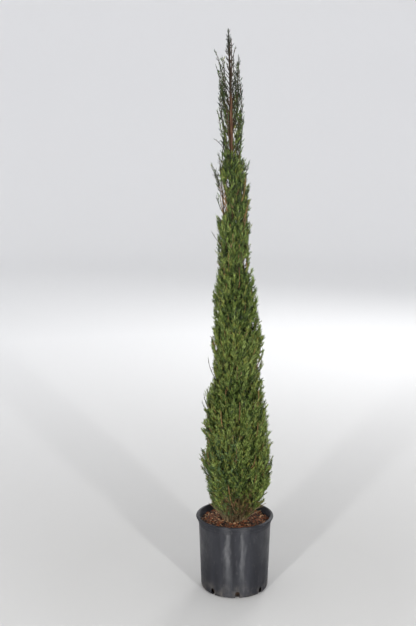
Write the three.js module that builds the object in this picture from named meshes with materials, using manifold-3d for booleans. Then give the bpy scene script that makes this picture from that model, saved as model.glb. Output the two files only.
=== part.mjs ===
// A young Italian cypress, a narrow column of upright sprays, in a round nursery pot.
//
// Millimetres, +Z up. The origin is the centre of the pot's flat underside, and the plant is seen from -Y.
// The trunk runs whole from the bark mulch to its tip. Boughs leave it in a spiral, each one ends where it
// enters a mass of foliage, and every mass keeps to the space that is nearer to its own middle than to any
// other, so that no two solids touch.
import * as THREE from "three";
import { mergeVertices } from "three/addons/utils/BufferGeometryUtils.js";
import Module from "manifold-3d";

const { clamp, lerp, degToRad } = THREE.MathUtils;
const wasm = await Module();
wasm.setup();

// ---- Driving dimensions ----

const CLEARANCE = 0.3; // between two solids that meet

const POT = {
  height: 280,
  lipRadius: 142,
  lipDepth: 9,
  bandRadius: 135,
  bandHeight: 22, // from the top of the lip to the step under the band
  wallRadius: 132.5, // under the band
  footRadius: 123.5, // where the wall turns into the rounded corner
  cornerRadius: 14,
  wall: 3,
  sides: 24,
};
const DRAIN = { count: 8, width: 16, height: 28, firstAngle: degToRad(-86) };

const MULCH = { edgeHeight: 253, crownHeight: 262, flatRadius: 32, roughness: 2.5, rings: 3 };

const TRUNK = {
  height: 2019, // of the tip above the ground
  footRadius: 17,
  tipRadius: 1.2,
  taper: 0.75,
  flare: 8, // added to the radius at the cut
  flareHeight: 45,
  lean: -30, // of the tip, along X
  leanPower: 1.6,
  sway: 4,
  sides: 10,
  segments: 17,
  crowding: 1.35, // over 1 sets the segments closer together at the foot
  room: 0.33, // cut round the trunk for its clearance
};

// The crown's outline: height, then reach from the trunk to the left (-X) and to the right (+X).
const OUTLINE = [
  [268, 30, 40],
  [296, 62, 72],
  [335, 90, 108],
  [400, 103, 133],
  [480, 128, 142],
  [700, 110, 121],
  [742, 106, 112],
  [778, 80, 105],
  [875, 74, 108],
  [930, 80, 121],
  [1000, 75, 97],
  [1110, 72, 89],
  [1220, 51, 66],
  [1400, 55, 64],
  [1555, 73, 65],
  [1620, 36, 42],
  [1740, 50, 49],
  [1890, 42, 41],
  [1960, 22, 27],
  [2019, 3, 3],
];

const MASSES = {
  count: 27,
  first: 350, // height of the lowest one's middle
  last: 1895, // and of the highest one's
  crowding: 1.3, // over 1 sets the lower ones closer together
  firstAngle: degToRad(-45),
  offset: 0.5, // of a middle from the trunk, as a share of the reach there
  squeeze: 0.34, // heights count this much when nearness is measured, so the spaces are tall
  margin: 0.9, // kept from the plane between two spaces
  overshoot: 1.05, // single tips stand this far out of the outline
};
const GOLDEN_ANGLE = Math.PI * (3 - Math.sqrt(5));

// The masses above the last bough grow straight from the trunk. Boughs are longer and thinner higher up.
const BOUGHS = {
  count: 21,
  rises: [48, 85],
  radii: [5.2, 3],
  tipShare: 0.5,
  sides: 5,
  segments: 3,
  tipAway: 0.85, // of the tip from the trunk, as a share of its mass's middle
  tipDepth: 8, // of the tip in its mass's space
  lowestTip: 36, // above the mulch
  lowestFoot: 12, // above the mulch, with a stagger so that the lowest ones leave the trunk apart
  stagger: 4,
  elbowAway: 0.8,
  elbowRise: 0.4,
  step: 3,
};

// Masses with their middle below a height have a core. Its spread is a share of the crown's reach.
// It is cut clear of the trunk and the boughs by its room.
const CORE = { below: 850, spread: 0.25, halfHeight: 70, margin: 8, inward: 0.2, step: 0.05 };
const CORE_ROOM = { trunk: 3, bough: 1.5, pastTip: 1.5 };

// A stem climbs in steps towards a share of the reach, for as long as it has room in its space.
const STEM = {
  radii: [3.2, 1.4],
  longest: 190,
  below: 70,
  heading: degToRad(40),
  step: 4,
  share: 0.7,
  lookAhead: 60,
  room: 6,
  firstBend: 0.3,
  secondBend: 0.15,
};

// Counts are for the foot and the top of the crown. Places are shares of the way along the limb below.
const TWIG = {
  counts: [6, 3.4],
  length: 85,
  shortest: 0.6,
  radii: [2.4, 0.9],
  places: [0.04, 0.8],
  turn: degToRad(200),
  share: 0.75,
  sprays: 3,
  sprayPlaces: [0.2, 0.9],
  sprayTurn: degToRad(50),
  sprayShares: [0.8, 1.02],
};
const TOP_SPRAYS = { places: [0.5, 0.7, 0.92], turn: degToRad(240), share: 0.9 };

// The widest lean of a shoot from the vertical: at the foot of the crown, and from a height upwards.
const WIDEST_LEANS = { angles: [degToRad(68), degToRad(33)], from: 300, rise: 300 };

// A spray's other sizes are shares of its length, and its root is sunk through the twig that carries it.
const SPRAY = {
  lowLengths: [95, 150],
  highLengths: [70, 110],
  halfWidth: 0.23,
  toothHeights: [0.68, 0.54],
  notch: 0.04, // from a tooth's tip down to its inner end
  waist: 0.3, // of the half width, left between the inner ends
  thickness: 0.08,
  ridge: 0.4,
  sunk: 0.05,
  climb: 0.85, // its usual rise
  turn: degToRad(90),
  roll: degToRad(120),
  shortest: 0.5, // of its first length, at the last try
  tries: 9, // turns tried before a spray is left out
};

// ---- Small helpers ----

// Evenly spread numbers from 0 to 1, the same ones each time for one seed.
function seeded(seed) {
  let state = seed >>> 0;
  return () => {
    state = (state + 0x6d2b79f5) >>> 0;
    let t = state;
    t = Math.imul(t ^ (t >>> 15), t | 1);
    t ^= t + Math.imul(t ^ (t >>> 7), t | 61);
    return ((t ^ (t >>> 14)) >>> 0) / 4294967296;
  };
}

// A closed three.js geometry as a manifold-3d solid.
function solidOf(geometry) {
  const bare = new THREE.BufferGeometry();
  bare.setAttribute("position", geometry.getAttribute("position"));
  bare.setIndex(geometry.index);
  const merged = mergeVertices(bare, 1e-3);
  const triVerts = new Uint32Array(merged.index.array);
  const vertProperties = merged.attributes.position.array;
  return new wasm.Manifold(new wasm.Mesh({ numProp: 3, vertProperties, triVerts }));
}

// A manifold-3d solid as a named three.js mesh.
function meshOf(name, solid, material) {
  const { numProp, vertProperties, triVerts } = solid.getMesh();
  const points = [];
  for (let i = 0; i < vertProperties.length; i += numProp) {
    points.push(vertProperties[i], vertProperties[i + 1], vertProperties[i + 2]);
  }
  const geometry = new THREE.BufferGeometry();
  geometry.setAttribute("position", new THREE.Float32BufferAttribute(points, 3));
  geometry.setIndex(Array.from(triVerts));
  const mesh = new THREE.Mesh(geometry, material);
  mesh.name = name;
  return mesh;
}

// The largest body of a fused solid: scraps are dropped, and a hollow that fusing sealed is filled.
function largestBody(solid) {
  return solid.decompose().reduce((a, b) => (b.volume() > a.volume() ? b : a));
}

// A round limb along a curve, with flat ends. radiusAt takes the share of the way along it.
function limb(curve, radiusAt, sides, segments) {
  const geometry = new THREE.CylinderGeometry(1, 1, 1, sides, segments);
  const frames = curve.computeFrenetFrames(segments);
  const position = geometry.getAttribute("position");
  for (let i = 0; i < position.count; i++) {
    const step = Math.round((position.getY(i) + 0.5) * segments);
    const t = step / segments;
    const point = curve
      .getPoint(t)
      .addScaledVector(frames.normals[step], position.getZ(i) * radiusAt(t))
      .addScaledVector(frames.binormals[step], position.getX(i) * radiusAt(t));
    position.setXYZ(i, point.x, point.y, point.z);
  }
  return solidOf(geometry);
}

// ---- Trunk and crown, as measures ----

function trunkShare(z) {
  return clamp((z - MULCH.crownHeight) / (TRUNK.height - MULCH.crownHeight), 0, 1);
}

function trunkPoint(z) {
  const t = trunkShare(z);
  const x = TRUNK.lean * t ** TRUNK.leanPower + TRUNK.sway * Math.sin(3 * Math.PI * t) * t;
  return new THREE.Vector3(x, TRUNK.sway * Math.sin(2 * Math.PI * t), z);
}

function trunkRadius(z) {
  const foot = clamp(1 - (z - MULCH.crownHeight) / TRUNK.flareHeight, 0, 1);
  const taper = (1 - trunkShare(z)) ** TRUNK.taper;
  return TRUNK.tipRadius + (TRUNK.footRadius - TRUNK.tipRadius) * taper + TRUNK.flare * foot ** 2;
}

// The crown's reach from the trunk at a height, towards an angle about Z.
function reach(z, angle) {
  const above = OUTLINE.findIndex(([height]) => height > z);
  if (above < 1) return 0;
  const [low, lowLeft, lowRight] = OUTLINE[above - 1];
  const [high, highLeft, highRight] = OUTLINE[above];
  const t = (z - low) / (high - low);
  return lerp(lerp(lowLeft, highLeft, t), lerp(lowRight, highRight, t), (1 + Math.cos(angle)) / 2);
}

function insideCrown(point) {
  const axis = trunkPoint(point.z);
  const away = new THREE.Vector2(point.x - axis.x, point.y - axis.y);
  return away.length() <= MASSES.overshoot * reach(point.z, away.angle());
}

// ---- The masses' middles and spaces ----

const middles = Array.from({ length: MASSES.count }, (_, k) => {
  const z = lerp(MASSES.first, MASSES.last, (k / (MASSES.count - 1)) ** MASSES.crowding);
  const angle = MASSES.firstAngle + k * GOLDEN_ANGLE;
  const away = MASSES.offset * reach(z, angle);
  const axis = trunkPoint(z);
  const place = new THREE.Vector3(axis.x + away * Math.cos(angle), axis.y + away * Math.sin(angle), z);
  return { place, angle, dense: z < CORE.below };
});

function squeezed(vector) {
  return new THREE.Vector3(vector.x, vector.y, vector.z * MASSES.squeeze);
}

// How deep a point lies in a mass's space, measured from the nearest plane to a neighbour.
function depthInSpace(k, point) {
  const own = squeezed(middles[k].place);
  const at = squeezed(point);
  let least = Infinity;
  middles.forEach(({ place }, j) => {
    if (j === k) return;
    const other = squeezed(place);
    const gap = other.distanceTo(own);
    least = Math.min(least, (at.distanceToSquared(other) - at.distanceToSquared(own)) / (2 * gap));
  });
  return least;
}

function keepsToSpace(k, points) {
  return points.every((p) => depthInSpace(k, p) > MASSES.margin && insideCrown(p));
}

// ---- Pot and mulch ----

function arc(centreX, centreY, radius, from, to, steps) {
  const angles = [degToRad(from), degToRad(to)];
  const curve = new THREE.EllipseCurve(centreX, centreY, radius, radius, ...angles, to < from);
  return curve.getPoints(steps);
}

// The inner face of the wall, at a height.
function innerRadius(z) {
  const stepHeight = POT.height - POT.bandHeight;
  if (z > stepHeight) return POT.bandRadius - POT.wall;
  const share = clamp((z - POT.cornerRadius) / (stepHeight - POT.cornerRadius), 0, 1);
  return lerp(POT.footRadius, POT.wallRadius, share) - POT.wall;
}

function potSolid() {
  const stepHeight = POT.height - POT.bandHeight;
  const round = POT.lipDepth / 2;
  const inside = POT.cornerRadius - POT.wall;
  const profile = [
    new THREE.Vector2(0, 0),
    ...arc(POT.footRadius - POT.cornerRadius, POT.cornerRadius, POT.cornerRadius, -90, 0, 3),
    new THREE.Vector2(POT.wallRadius, stepHeight - 1),
    new THREE.Vector2(POT.bandRadius, stepHeight + 1),
    new THREE.Vector2(POT.bandRadius, POT.height - POT.lipDepth),
    ...arc(POT.lipRadius - round, POT.height - round, round, -90, 90, 4),
    new THREE.Vector2(innerRadius(POT.height) + 1.5, POT.height),
    new THREE.Vector2(innerRadius(POT.height), POT.height - 2),
    new THREE.Vector2(innerRadius(POT.height), stepHeight + 1),
    new THREE.Vector2(innerRadius(stepHeight), stepHeight - 2),
    ...arc(innerRadius(0) - inside, POT.cornerRadius, inside, 0, -90, 2),
    new THREE.Vector2(0, POT.wall),
  ];
  const shell = solidOf(new THREE.LatheGeometry(profile, POT.sides).rotateX(Math.PI / 2));
  return wasm.Manifold.difference([shell, ...drainCutters()]);
}

// Round-topped slots through the pot's bottom corner.
function drainCutters() {
  const half = DRAIN.width / 2;
  const arch = new THREE.Shape([
    new THREE.Vector2(half, -2),
    ...arc(0, DRAIN.height - half, half, 0, 180, 4),
    new THREE.Vector2(-half, -2),
  ]);
  return Array.from({ length: DRAIN.count }, (_, i) => {
    const cutter = new THREE.ExtrudeGeometry(arch, { depth: 30, bevelEnabled: false });
    cutter.rotateX(Math.PI / 2).translate(0, POT.footRadius + 10, 0);
    cutter.rotateZ(DRAIN.firstAngle - Math.PI / 2 + (i * 2 * Math.PI) / DRAIN.count);
    return solidOf(cutter);
  });
}

// Substrate that fills the pot, with a low, rough mound of bark mulch on top.
function mulchSolid() {
  const inside = POT.cornerRadius - POT.wall;
  const edge = innerRadius(MULCH.edgeHeight) - CLEARANCE;
  const side = [
    new THREE.Vector2(0, POT.wall + CLEARANCE),
    ...arc(innerRadius(0) - inside, POT.cornerRadius, inside - CLEARANCE, -90, 0, 2),
    new THREE.Vector2(edge, MULCH.edgeHeight),
  ];
  const top = Array.from({ length: MULCH.rings }, (_, i) => {
    const share = (i + 1) / MULCH.rings;
    const radius = lerp(edge, MULCH.flatRadius, share);
    const height = lerp(MULCH.edgeHeight, MULCH.crownHeight, Math.sin((share * Math.PI) / 2));
    return new THREE.Vector2(radius, height);
  });
  const profile = [...side, ...top, new THREE.Vector2(0, MULCH.crownHeight)];
  const geometry = new THREE.LatheGeometry(profile, POT.sides);
  geometry.rotateX(Math.PI / 2);
  roughenTop(geometry, edge);
  return solidOf(geometry);
}

// Uneven bark on top, with the edge and the flat round the trunk left as they are.
function roughenTop(geometry, edge) {
  const position = geometry.getAttribute("position");
  for (let i = 0; i < position.count; i++) {
    const [x, y, z] = [position.getX(i), position.getY(i), position.getZ(i)];
    const radius = Math.hypot(x, y);
    const onTop = z >= MULCH.edgeHeight && radius > MULCH.flatRadius + 1 && radius < edge - 1;
    if (onTop) position.setZ(i, z + MULCH.roughness * (Math.sin(0.9 * x) * Math.cos(0.7 * y) - 0.2));
  }
}

// ---- Trunk and boughs ----

// The trunk, or with grown over 0 the room that it and its clearance take up.
function trunkSolid(grown) {
  const foot = MULCH.crownHeight + CLEARANCE - grown;
  const heights = Array.from({ length: TRUNK.segments + 1 }, (_, i) => {
    return lerp(foot, TRUNK.height, (i / TRUNK.segments) ** TRUNK.crowding);
  });
  const geometry = new THREE.CylinderGeometry(1, 1, 1, TRUNK.sides, TRUNK.segments).rotateX(Math.PI / 2);
  const position = geometry.getAttribute("position");
  for (let i = 0; i < position.count; i++) {
    const z = heights[Math.round((position.getZ(i) + 0.5) * TRUNK.segments)];
    const centre = trunkPoint(z);
    const radius = trunkRadius(z) + grown;
    position.setXYZ(i, centre.x + position.getX(i) * radius, centre.y + position.getY(i) * radius, z);
  }
  return solidOf(geometry);
}

// Where the bough enters its mass: straight below the middle, at the floor of the mass's space.
function entry(k) {
  const { place } = middles[k];
  const point = trunkPoint(place.z).lerp(place, BOUGHS.tipAway);
  const lowest = MULCH.crownHeight + BOUGHS.lowestTip;
  while (depthInSpace(k, point) > BOUGHS.tipDepth && point.z > lowest) point.z -= BOUGHS.step;
  return point;
}

// A bough leaves the trunk below its mass, swings out and turns up. It ends where it enters the mass.
function boughCurve(k, tip) {
  const rise = lerp(...BOUGHS.rises, k / BOUGHS.count);
  const lowest = MULCH.crownHeight + BOUGHS.lowestFoot + BOUGHS.stagger * (k % 3);
  const foot = trunkPoint(Math.max(tip.z - rise, lowest));
  const elbow = foot.clone().lerp(tip, BOUGHS.elbowAway);
  elbow.z = lerp(foot.z, tip.z, BOUGHS.elbowRise);
  return new THREE.QuadraticBezierCurve3(foot, elbow, tip);
}

function boughSolid(k, curve, grown) {
  const size = lerp(...BOUGHS.radii, k / BOUGHS.count);
  const radiusAt = (t) => lerp(size, BOUGHS.tipShare * size, t) + grown;
  return limb(curve, radiusAt, BOUGHS.sides, BOUGHS.segments);
}

// ---- Foliage ----

// A spray: a flat, pointed blade with a tooth on each side for a side shoot, thickest at its ridge.
function spraySolid(root, along, across, length) {
  const half = SPRAY.halfWidth * length;
  const [right, left] = SPRAY.toothHeights.map((share) => share * length);
  const outline = [
    [0, 0],
    [half, right],
    [SPRAY.waist * half, right - SPRAY.notch * length],
    [0, length],
    [-SPRAY.waist * half, left - SPRAY.notch * length],
    [-half, left],
  ];
  const facing = across.clone().cross(along).normalize();
  const at = ([x, y], z) =>
    root.clone().addScaledVector(across, x).addScaledVector(along, y).addScaledVector(facing, z);
  const ridge = [0, SPRAY.ridge * length];
  const thickness = SPRAY.thickness * length;
  const points = [...outline.map((p) => at(p, 0)), at(ridge, thickness / 2), at(ridge, -thickness / 2)];
  const [front, back] = [outline.length, outline.length + 1];
  const faces = outline.flatMap((_, i) => {
    const next = (i + 1) % outline.length;
    return [i, next, front, next, i, back];
  });
  const geometry = new THREE.BufferGeometry().setFromPoints(points);
  geometry.setIndex(faces);
  return { solid: solidOf(geometry), points };
}

function outwardAngle(point) {
  const axis = trunkPoint(point.z);
  return Math.atan2(point.y - axis.y, point.x - axis.x);
}

// A direction at an angle about Z, leaning out from the vertical.
function leaning(angle, lean) {
  const out = Math.sin(lean);
  return new THREE.Vector3(out * Math.cos(angle), out * Math.sin(angle), Math.cos(lean));
}

// The direction at an angle that brings a shoot's tip to a share of the crown's reach. Shoots lean out
// widely at the foot of the crown and stand nearly upright above.
function towardsOutline(start, angle, length, share) {
  const height = start.z + SPRAY.climb * length;
  const axis = trunkPoint(height);
  const away = (start.x - axis.x) * Math.cos(angle) + (start.y - axis.y) * Math.sin(angle);
  const above = clamp((start.z - WIDEST_LEANS.from) / WIDEST_LEANS.rise, 0, 1);
  const widest = lerp(...WIDEST_LEANS.angles, above);
  const lean = Math.asin(clamp((share * reach(height, angle) - away) / length, -0.1, 1));
  return leaning(angle, Math.min(lean, widest));
}

// The mass's stem: on from the bough's tip, or the trunk, through the middle to the top of its space.
function stemCurve(k, root, heading) {
  const { place, angle } = middles[k];
  const top = place.clone();
  while (top.z < place.z + STEM.longest) {
    const ahead = towardsOutline(top, angle, STEM.lookAhead, STEM.share);
    const next = top.clone().addScaledVector(ahead, STEM.step);
    if (depthInSpace(k, next) < STEM.room || !insideCrown(next)) break;
    top.copy(next);
  }
  const bend = root.clone().addScaledVector(heading, STEM.firstBend * root.distanceTo(place));
  return new THREE.CubicBezierCurve3(root, bend, place.clone().lerp(top, STEM.secondBend), top);
}

// A dense mass's core: a faceted ball drawn out towards the walls of the mass's space.
function coreSolid(k) {
  const { place, angle } = middles[k];
  const centre = place.clone().lerp(trunkPoint(place.z), CORE.inward);
  const geometry = new THREE.IcosahedronGeometry(1, 0);
  const position = geometry.getAttribute("position");
  const spread = CORE.spread * reach(place.z, angle);
  for (let i = 0; i < position.count; i++) {
    const ray = new THREE.Vector3().fromBufferAttribute(position, i);
    ray.set(ray.x * spread, ray.y * spread, ray.z * CORE.halfHeight);
    let share = 1;
    let point = centre.clone().add(ray);
    while (share > CORE.step && depthInSpace(k, point) < CORE.margin) {
      share -= CORE.step;
      point = centre.clone().addScaledVector(ray, share);
    }
    position.setXYZ(i, point.x, point.y, point.z);
  }
  return solidOf(geometry).subtract(coreCutter);
}

function massSolid(k, root, heading) {
  const random = seeded(101 + k);
  const up = k / (MASSES.count - 1);
  const twigCount = Math.round(lerp(...TWIG.counts, up));
  const stem = stemCurve(k, root, heading);
  const twigs = [limb(stem, (t) => lerp(...STEM.radii, t), 3, 3)];
  const sprays = [];
  if (middles[k].dense) twigs.push(coreSolid(k));

  // A spray is turned and shortened until it keeps to the space and crosses no other spray.
  const addSpray = (start, angle, share) => {
    const lowLength = lerp(...SPRAY.lowLengths, random());
    const length = lerp(lowLength, lerp(...SPRAY.highLengths, random()), up);
    for (let i = 0; i < SPRAY.tries; i++) {
      const tried = length * lerp(1, SPRAY.shortest, i / SPRAY.tries);
      const along = towardsOutline(start, angle + SPRAY.turn * (random() - 0.5), tried, share);
      const across = new THREE.Vector3(-along.y, along.x, 0).normalize();
      across.applyAxisAngle(along, SPRAY.roll * (random() - 0.5));
      const root = start.clone().addScaledVector(along, -SPRAY.sunk * tried);
      const spray = spraySolid(root, along, across, tried);
      if (!keepsToSpace(k, spray.points.slice(1))) continue;
      if (spray.solid.minGap(limbs, 1) < CLEARANCE) continue;
      if (sprays.some((other) => other.intersect(spray.solid).volume() > 0)) continue;
      sprays.push(spray.solid);
      return;
    }
  };

  for (let i = 0; i < twigCount; i++) {
    const start = stem.getPoint(lerp(...TWIG.places, (i + 0.5 * random()) / twigCount));
    const angle = outwardAngle(start) + TWIG.turn * (random() - 0.5);
    const length = TWIG.length * lerp(TWIG.shortest, 1, random());
    const tip = start.clone().addScaledVector(towardsOutline(start, angle, length, TWIG.share), length);
    const twig = new THREE.LineCurve3(start, tip);
    const twigSolid = limb(twig, (t) => lerp(...TWIG.radii, t), 3, 1);
    const fits = keepsToSpace(k, [tip]) && twigSolid.minGap(limbs, 1) >= CLEARANCE;
    if (fits) twigs.push(twigSolid);
    for (let j = 0; j < TWIG.sprays; j++) {
      const t = fits ? lerp(...TWIG.sprayPlaces, j / (TWIG.sprays - 1)) : 0;
      const side = (j % 2 ? 1 : -1) * TWIG.sprayTurn * random();
      addSpray(twig.getPoint(t), angle + side, lerp(...TWIG.sprayShares, random()));
    }
  }
  // Shoots along the stem's upper half carry the mass up to its top.
  for (const t of TOP_SPRAYS.places) {
    const start = stem.getPoint(t);
    const angle = outwardAngle(start) + TOP_SPRAYS.turn * (random() - 0.5);
    addSpray(start, angle, TOP_SPRAYS.share * random());
  }
  return largestBody(wasm.Manifold.union([...twigs, ...sprays]).subtract(trunkRoom));
}

// ---- Materials ----

const black = new THREE.MeshStandardMaterial({ color: 0x35363a, roughness: 0.5, metalness: 0 });
const mulchBrown = new THREE.MeshStandardMaterial({ color: 0x5a3524, roughness: 0.95, metalness: 0 });
const bark = new THREE.MeshStandardMaterial({ color: 0x6b4632, roughness: 0.9, metalness: 0 });
const green = new THREE.MeshStandardMaterial({ color: 0x51682f, roughness: 0.75, metalness: 0 });

// ---- The plant in its pot ----

const cypress = new THREE.Group();
cypress.name = "italian_cypress";
cypress.add(meshOf("pot", potSolid(), black));
cypress.add(meshOf("mulch", mulchSolid(), mulchBrown));

const trunk = trunkSolid(0);
const trunkRoom = trunkSolid(TRUNK.room);
cypress.add(meshOf("trunk", trunk, bark));

const number = (k) => String(k + 1).padStart(2, "0");
const boughCurves = Array.from({ length: BOUGHS.count }, (_, k) => boughCurve(k, entry(k)));
const boughs = boughCurves.map((curve, k) => largestBody(boughSolid(k, curve, 0).subtract(trunkRoom)));
boughs.forEach((bough, k) => cypress.add(meshOf("bough_" + number(k), bough, bark)));

const limbs = wasm.Manifold.union([trunk, ...boughs]);

// The room that the limbs take up among the cores, a little longer and thicker than they are.
const coreCutter = wasm.Manifold.union([
  trunkSolid(CORE_ROOM.trunk),
  ...boughCurves.map((curve, k) => {
    const tip = curve.getPoint(1).addScaledVector(curve.getTangent(1), CORE_ROOM.pastTip);
    return boughSolid(k, boughCurve(k, tip), CORE_ROOM.bough);
  }),
]);
middles.forEach(({ place, angle }, k) => {
  let root = trunkPoint(place.z - STEM.below);
  let heading = leaning(angle, STEM.heading);
  if (k < BOUGHS.count) {
    heading = boughCurves[k].getTangent(1);
    root = boughCurves[k].getPoint(1).addScaledVector(heading, CLEARANCE);
  }
  cypress.add(meshOf("foliage_" + number(k), massSolid(k, root, heading), green));
});

export default cypress;
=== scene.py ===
"""Dresses the cypress: a moulded pot, bark mulch, ridged bark, and a crown grown on from the boughs.

The trunk, the boughs and the spaces of the foliage masses follow the same rule as the solids, written again
here. Each mass's stem is carried on to fine twigs, and the twigs carry sprays of cord-like shoots.
"""

import bpy
import math
import numpy as np
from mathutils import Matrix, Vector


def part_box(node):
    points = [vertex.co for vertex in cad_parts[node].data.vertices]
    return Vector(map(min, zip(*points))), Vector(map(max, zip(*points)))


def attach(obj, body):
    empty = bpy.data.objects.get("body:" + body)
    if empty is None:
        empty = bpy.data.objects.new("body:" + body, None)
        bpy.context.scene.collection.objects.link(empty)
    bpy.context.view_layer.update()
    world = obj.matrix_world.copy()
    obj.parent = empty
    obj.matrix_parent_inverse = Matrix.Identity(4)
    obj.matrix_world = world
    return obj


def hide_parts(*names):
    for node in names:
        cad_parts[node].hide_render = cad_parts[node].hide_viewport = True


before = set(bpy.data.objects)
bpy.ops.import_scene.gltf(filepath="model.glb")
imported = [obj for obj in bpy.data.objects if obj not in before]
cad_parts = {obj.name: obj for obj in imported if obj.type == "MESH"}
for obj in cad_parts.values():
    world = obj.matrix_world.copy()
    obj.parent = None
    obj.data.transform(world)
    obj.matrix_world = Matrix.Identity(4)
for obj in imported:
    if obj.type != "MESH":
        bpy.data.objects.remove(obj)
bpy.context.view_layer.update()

bl_info = {
    "name": "Potted Cypress",
    "version": (1, 0, 0),
    "blender": (4, 5, 0),
    "location": "3D View > Sidebar > Cypress",
    "description": "Builds a columnar cypress with its pot, mulch, bark, twigs and sprays",
    "category": "Add Mesh",
}

# ---- Measures that follow the solids, in metres ----

POT_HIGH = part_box("pot")[1]
MULCH_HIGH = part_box("mulch")[1]
TRUNK_LOW, TRUNK_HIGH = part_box("trunk")
CLEARANCE = 0.0003  # between one solid and the next
POT_HEIGHT = POT_HIGH.z
LIP_RADIUS = POT_HIGH.x
CROWN_FOOT = round(TRUNK_LOW.z - CLEARANCE, 4)  # top of the mulch at the trunk
TREE_TOP = TRUNK_HIGH.z
NODES = sorted(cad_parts)
BOUGH_NODES = [name for name in NODES if name.startswith("bough_")]
MASS_NODES = [name for name in NODES if name.startswith("foliage_")]

TRUNK = {
    "foot_radius": 0.017,
    "tip_radius": 0.0012,
    "taper": 0.75,
    "flare": 0.008,
    "flare_height": 0.045,
    "lean": -0.030,
    "lean_power": 1.6,
    "sway": 0.004,
}

# The crown's outline: height, then reach from the trunk to the left (-X) and to the right (+X).
OUTLINE = np.array([
    (0.268, 0.030, 0.040),
    (0.296, 0.062, 0.072),
    (0.335, 0.090, 0.108),
    (0.400, 0.103, 0.133),
    (0.480, 0.128, 0.142),
    (0.700, 0.110, 0.121),
    (0.742, 0.106, 0.112),
    (0.778, 0.080, 0.105),
    (0.875, 0.074, 0.108),
    (0.930, 0.080, 0.121),
    (1.000, 0.075, 0.097),
    (1.110, 0.072, 0.089),
    (1.220, 0.051, 0.066),
    (1.400, 0.055, 0.064),
    (1.555, 0.073, 0.065),
    (1.620, 0.036, 0.042),
    (1.740, 0.050, 0.049),
    (1.890, 0.042, 0.041),
    (1.960, 0.022, 0.027),
    (2.019, 0.003, 0.003),
])

MASSES = {
    "first": 0.350,
    "last": 1.895,
    "crowding": 1.3,
    "first_angle": math.radians(-45),
    "offset": 0.5,
    "squeeze": 0.34,
}
GOLDEN_ANGLE = math.pi * (3 - math.sqrt(5))
BOUGH = {
    "rises": (0.048, 0.085),
    "radii": (0.0052, 0.003),
    "tip_share": 0.5,
    "reach": 0.85,  # how far its tip goes from the trunk towards the mass's middle
    "deepest": 0.008,  # of its tip in the mass's space
    "lowest_tip": 0.036,  # above the mulch
    "lowest_foot": 0.012,
    "stagger": 0.004,  # between the feet of the lowest boughs
    "tip_step": 0.003,
}
STEM = {
    "radii": (0.0030, 0.0012),
    "longest": 0.190,
    "below": 0.070,
    "heading": math.radians(40),
    "step": 0.004,
    "shoot": 0.060,
    "share": 0.7,
    "margin": 0.006,  # from the planes between its space and the next
}
WIDEST_LEANS = (math.radians(68), math.radians(33))
WIDEST_UP_TO = 0.3  # height at which the widest lean starts to narrow, over as much again


def lerp(a, b, t):
    return a + (b - a) * t


def clamp(value, low=0, high=1):
    return min(max(value, low), high)


def unit(vector):
    return vector / np.linalg.norm(vector, axis=-1, keepdims=True)


# ---- The growth rule: trunk, reach, spaces, boughs and stems ----


def trunk_share(z):
    return np.clip((z - CROWN_FOOT) / (TREE_TOP - CROWN_FOOT), 0, 1)


def trunk_point(z):
    t = trunk_share(z)
    x = TRUNK["lean"] * t ** TRUNK["lean_power"] + TRUNK["sway"] * np.sin(3 * math.pi * t) * t
    y = TRUNK["sway"] * np.sin(2 * math.pi * t)
    return np.stack([x, y, z + 0 * t], axis=-1)


def trunk_radius(z):
    foot = np.clip(1 - (z - CROWN_FOOT) / TRUNK["flare_height"], 0, 1)
    taper = (1 - trunk_share(z)) ** TRUNK["taper"]
    body = TRUNK["tip_radius"] + (TRUNK["foot_radius"] - TRUNK["tip_radius"]) * taper
    return body + TRUNK["flare"] * foot ** 2


def between_sides(table, z, angle, **outside):
    """A value from a table by height, between its left and its right column by the angle about Z."""
    left, right = (np.interp(z, table[:, 0], table[:, side], **outside) for side in (1, 2))
    return lerp(left, right, (1 + np.cos(angle)) / 2)


def reach(z, angle):
    """The crown's reach from the trunk at a height, towards an angle about Z."""
    return between_sides(OUTLINE, z, angle, left=0, right=0)


def away_from_trunk(points):
    """Each point's distance from the trunk's middle line and its angle about it."""
    flat = points - trunk_point(points[..., 2])
    return np.hypot(flat[..., 0], flat[..., 1]), np.arctan2(flat[..., 1], flat[..., 0])


def share_of_reach(points):
    distance, angle = away_from_trunk(points)
    return distance / np.maximum(reach(points[..., 2], angle), 1e-6)


def mass_middle(k):
    z = lerp(MASSES["first"], MASSES["last"], (k / (len(MASS_NODES) - 1)) ** MASSES["crowding"])
    angle = MASSES["first_angle"] + k * GOLDEN_ANGLE
    away = MASSES["offset"] * reach(z, angle)
    return trunk_point(z) + away * np.array([math.cos(angle), math.sin(angle), 0]), angle


MIDDLES = [mass_middle(k) for k in range(len(MASS_NODES))]
SQUEEZE = np.array([1, 1, MASSES["squeeze"]])
SQUEEZED = np.array([middle for middle, _ in MIDDLES]) * SQUEEZE


def depth_in_space(k, points):
    """How deep each point lies in a mass's space, measured from the nearest plane to a neighbour."""
    at = np.atleast_2d(points) * SQUEEZE
    squares = ((at[:, None, :] - SQUEEZED[None, :, :]) ** 2).sum(axis=2)
    others = [j for j in range(len(SQUEEZED)) if j != k]
    gaps = np.linalg.norm(SQUEEZED[others] - SQUEEZED[k], axis=1)
    return ((squares[:, others] - squares[:, [k]]) / (2 * gaps)).min(axis=1)


def leaning(angle, lean):
    """A direction at an angle about Z, leaning out from the vertical."""
    return np.array([math.sin(lean) * math.cos(angle), math.sin(lean) * math.sin(angle), math.cos(lean)])


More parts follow.
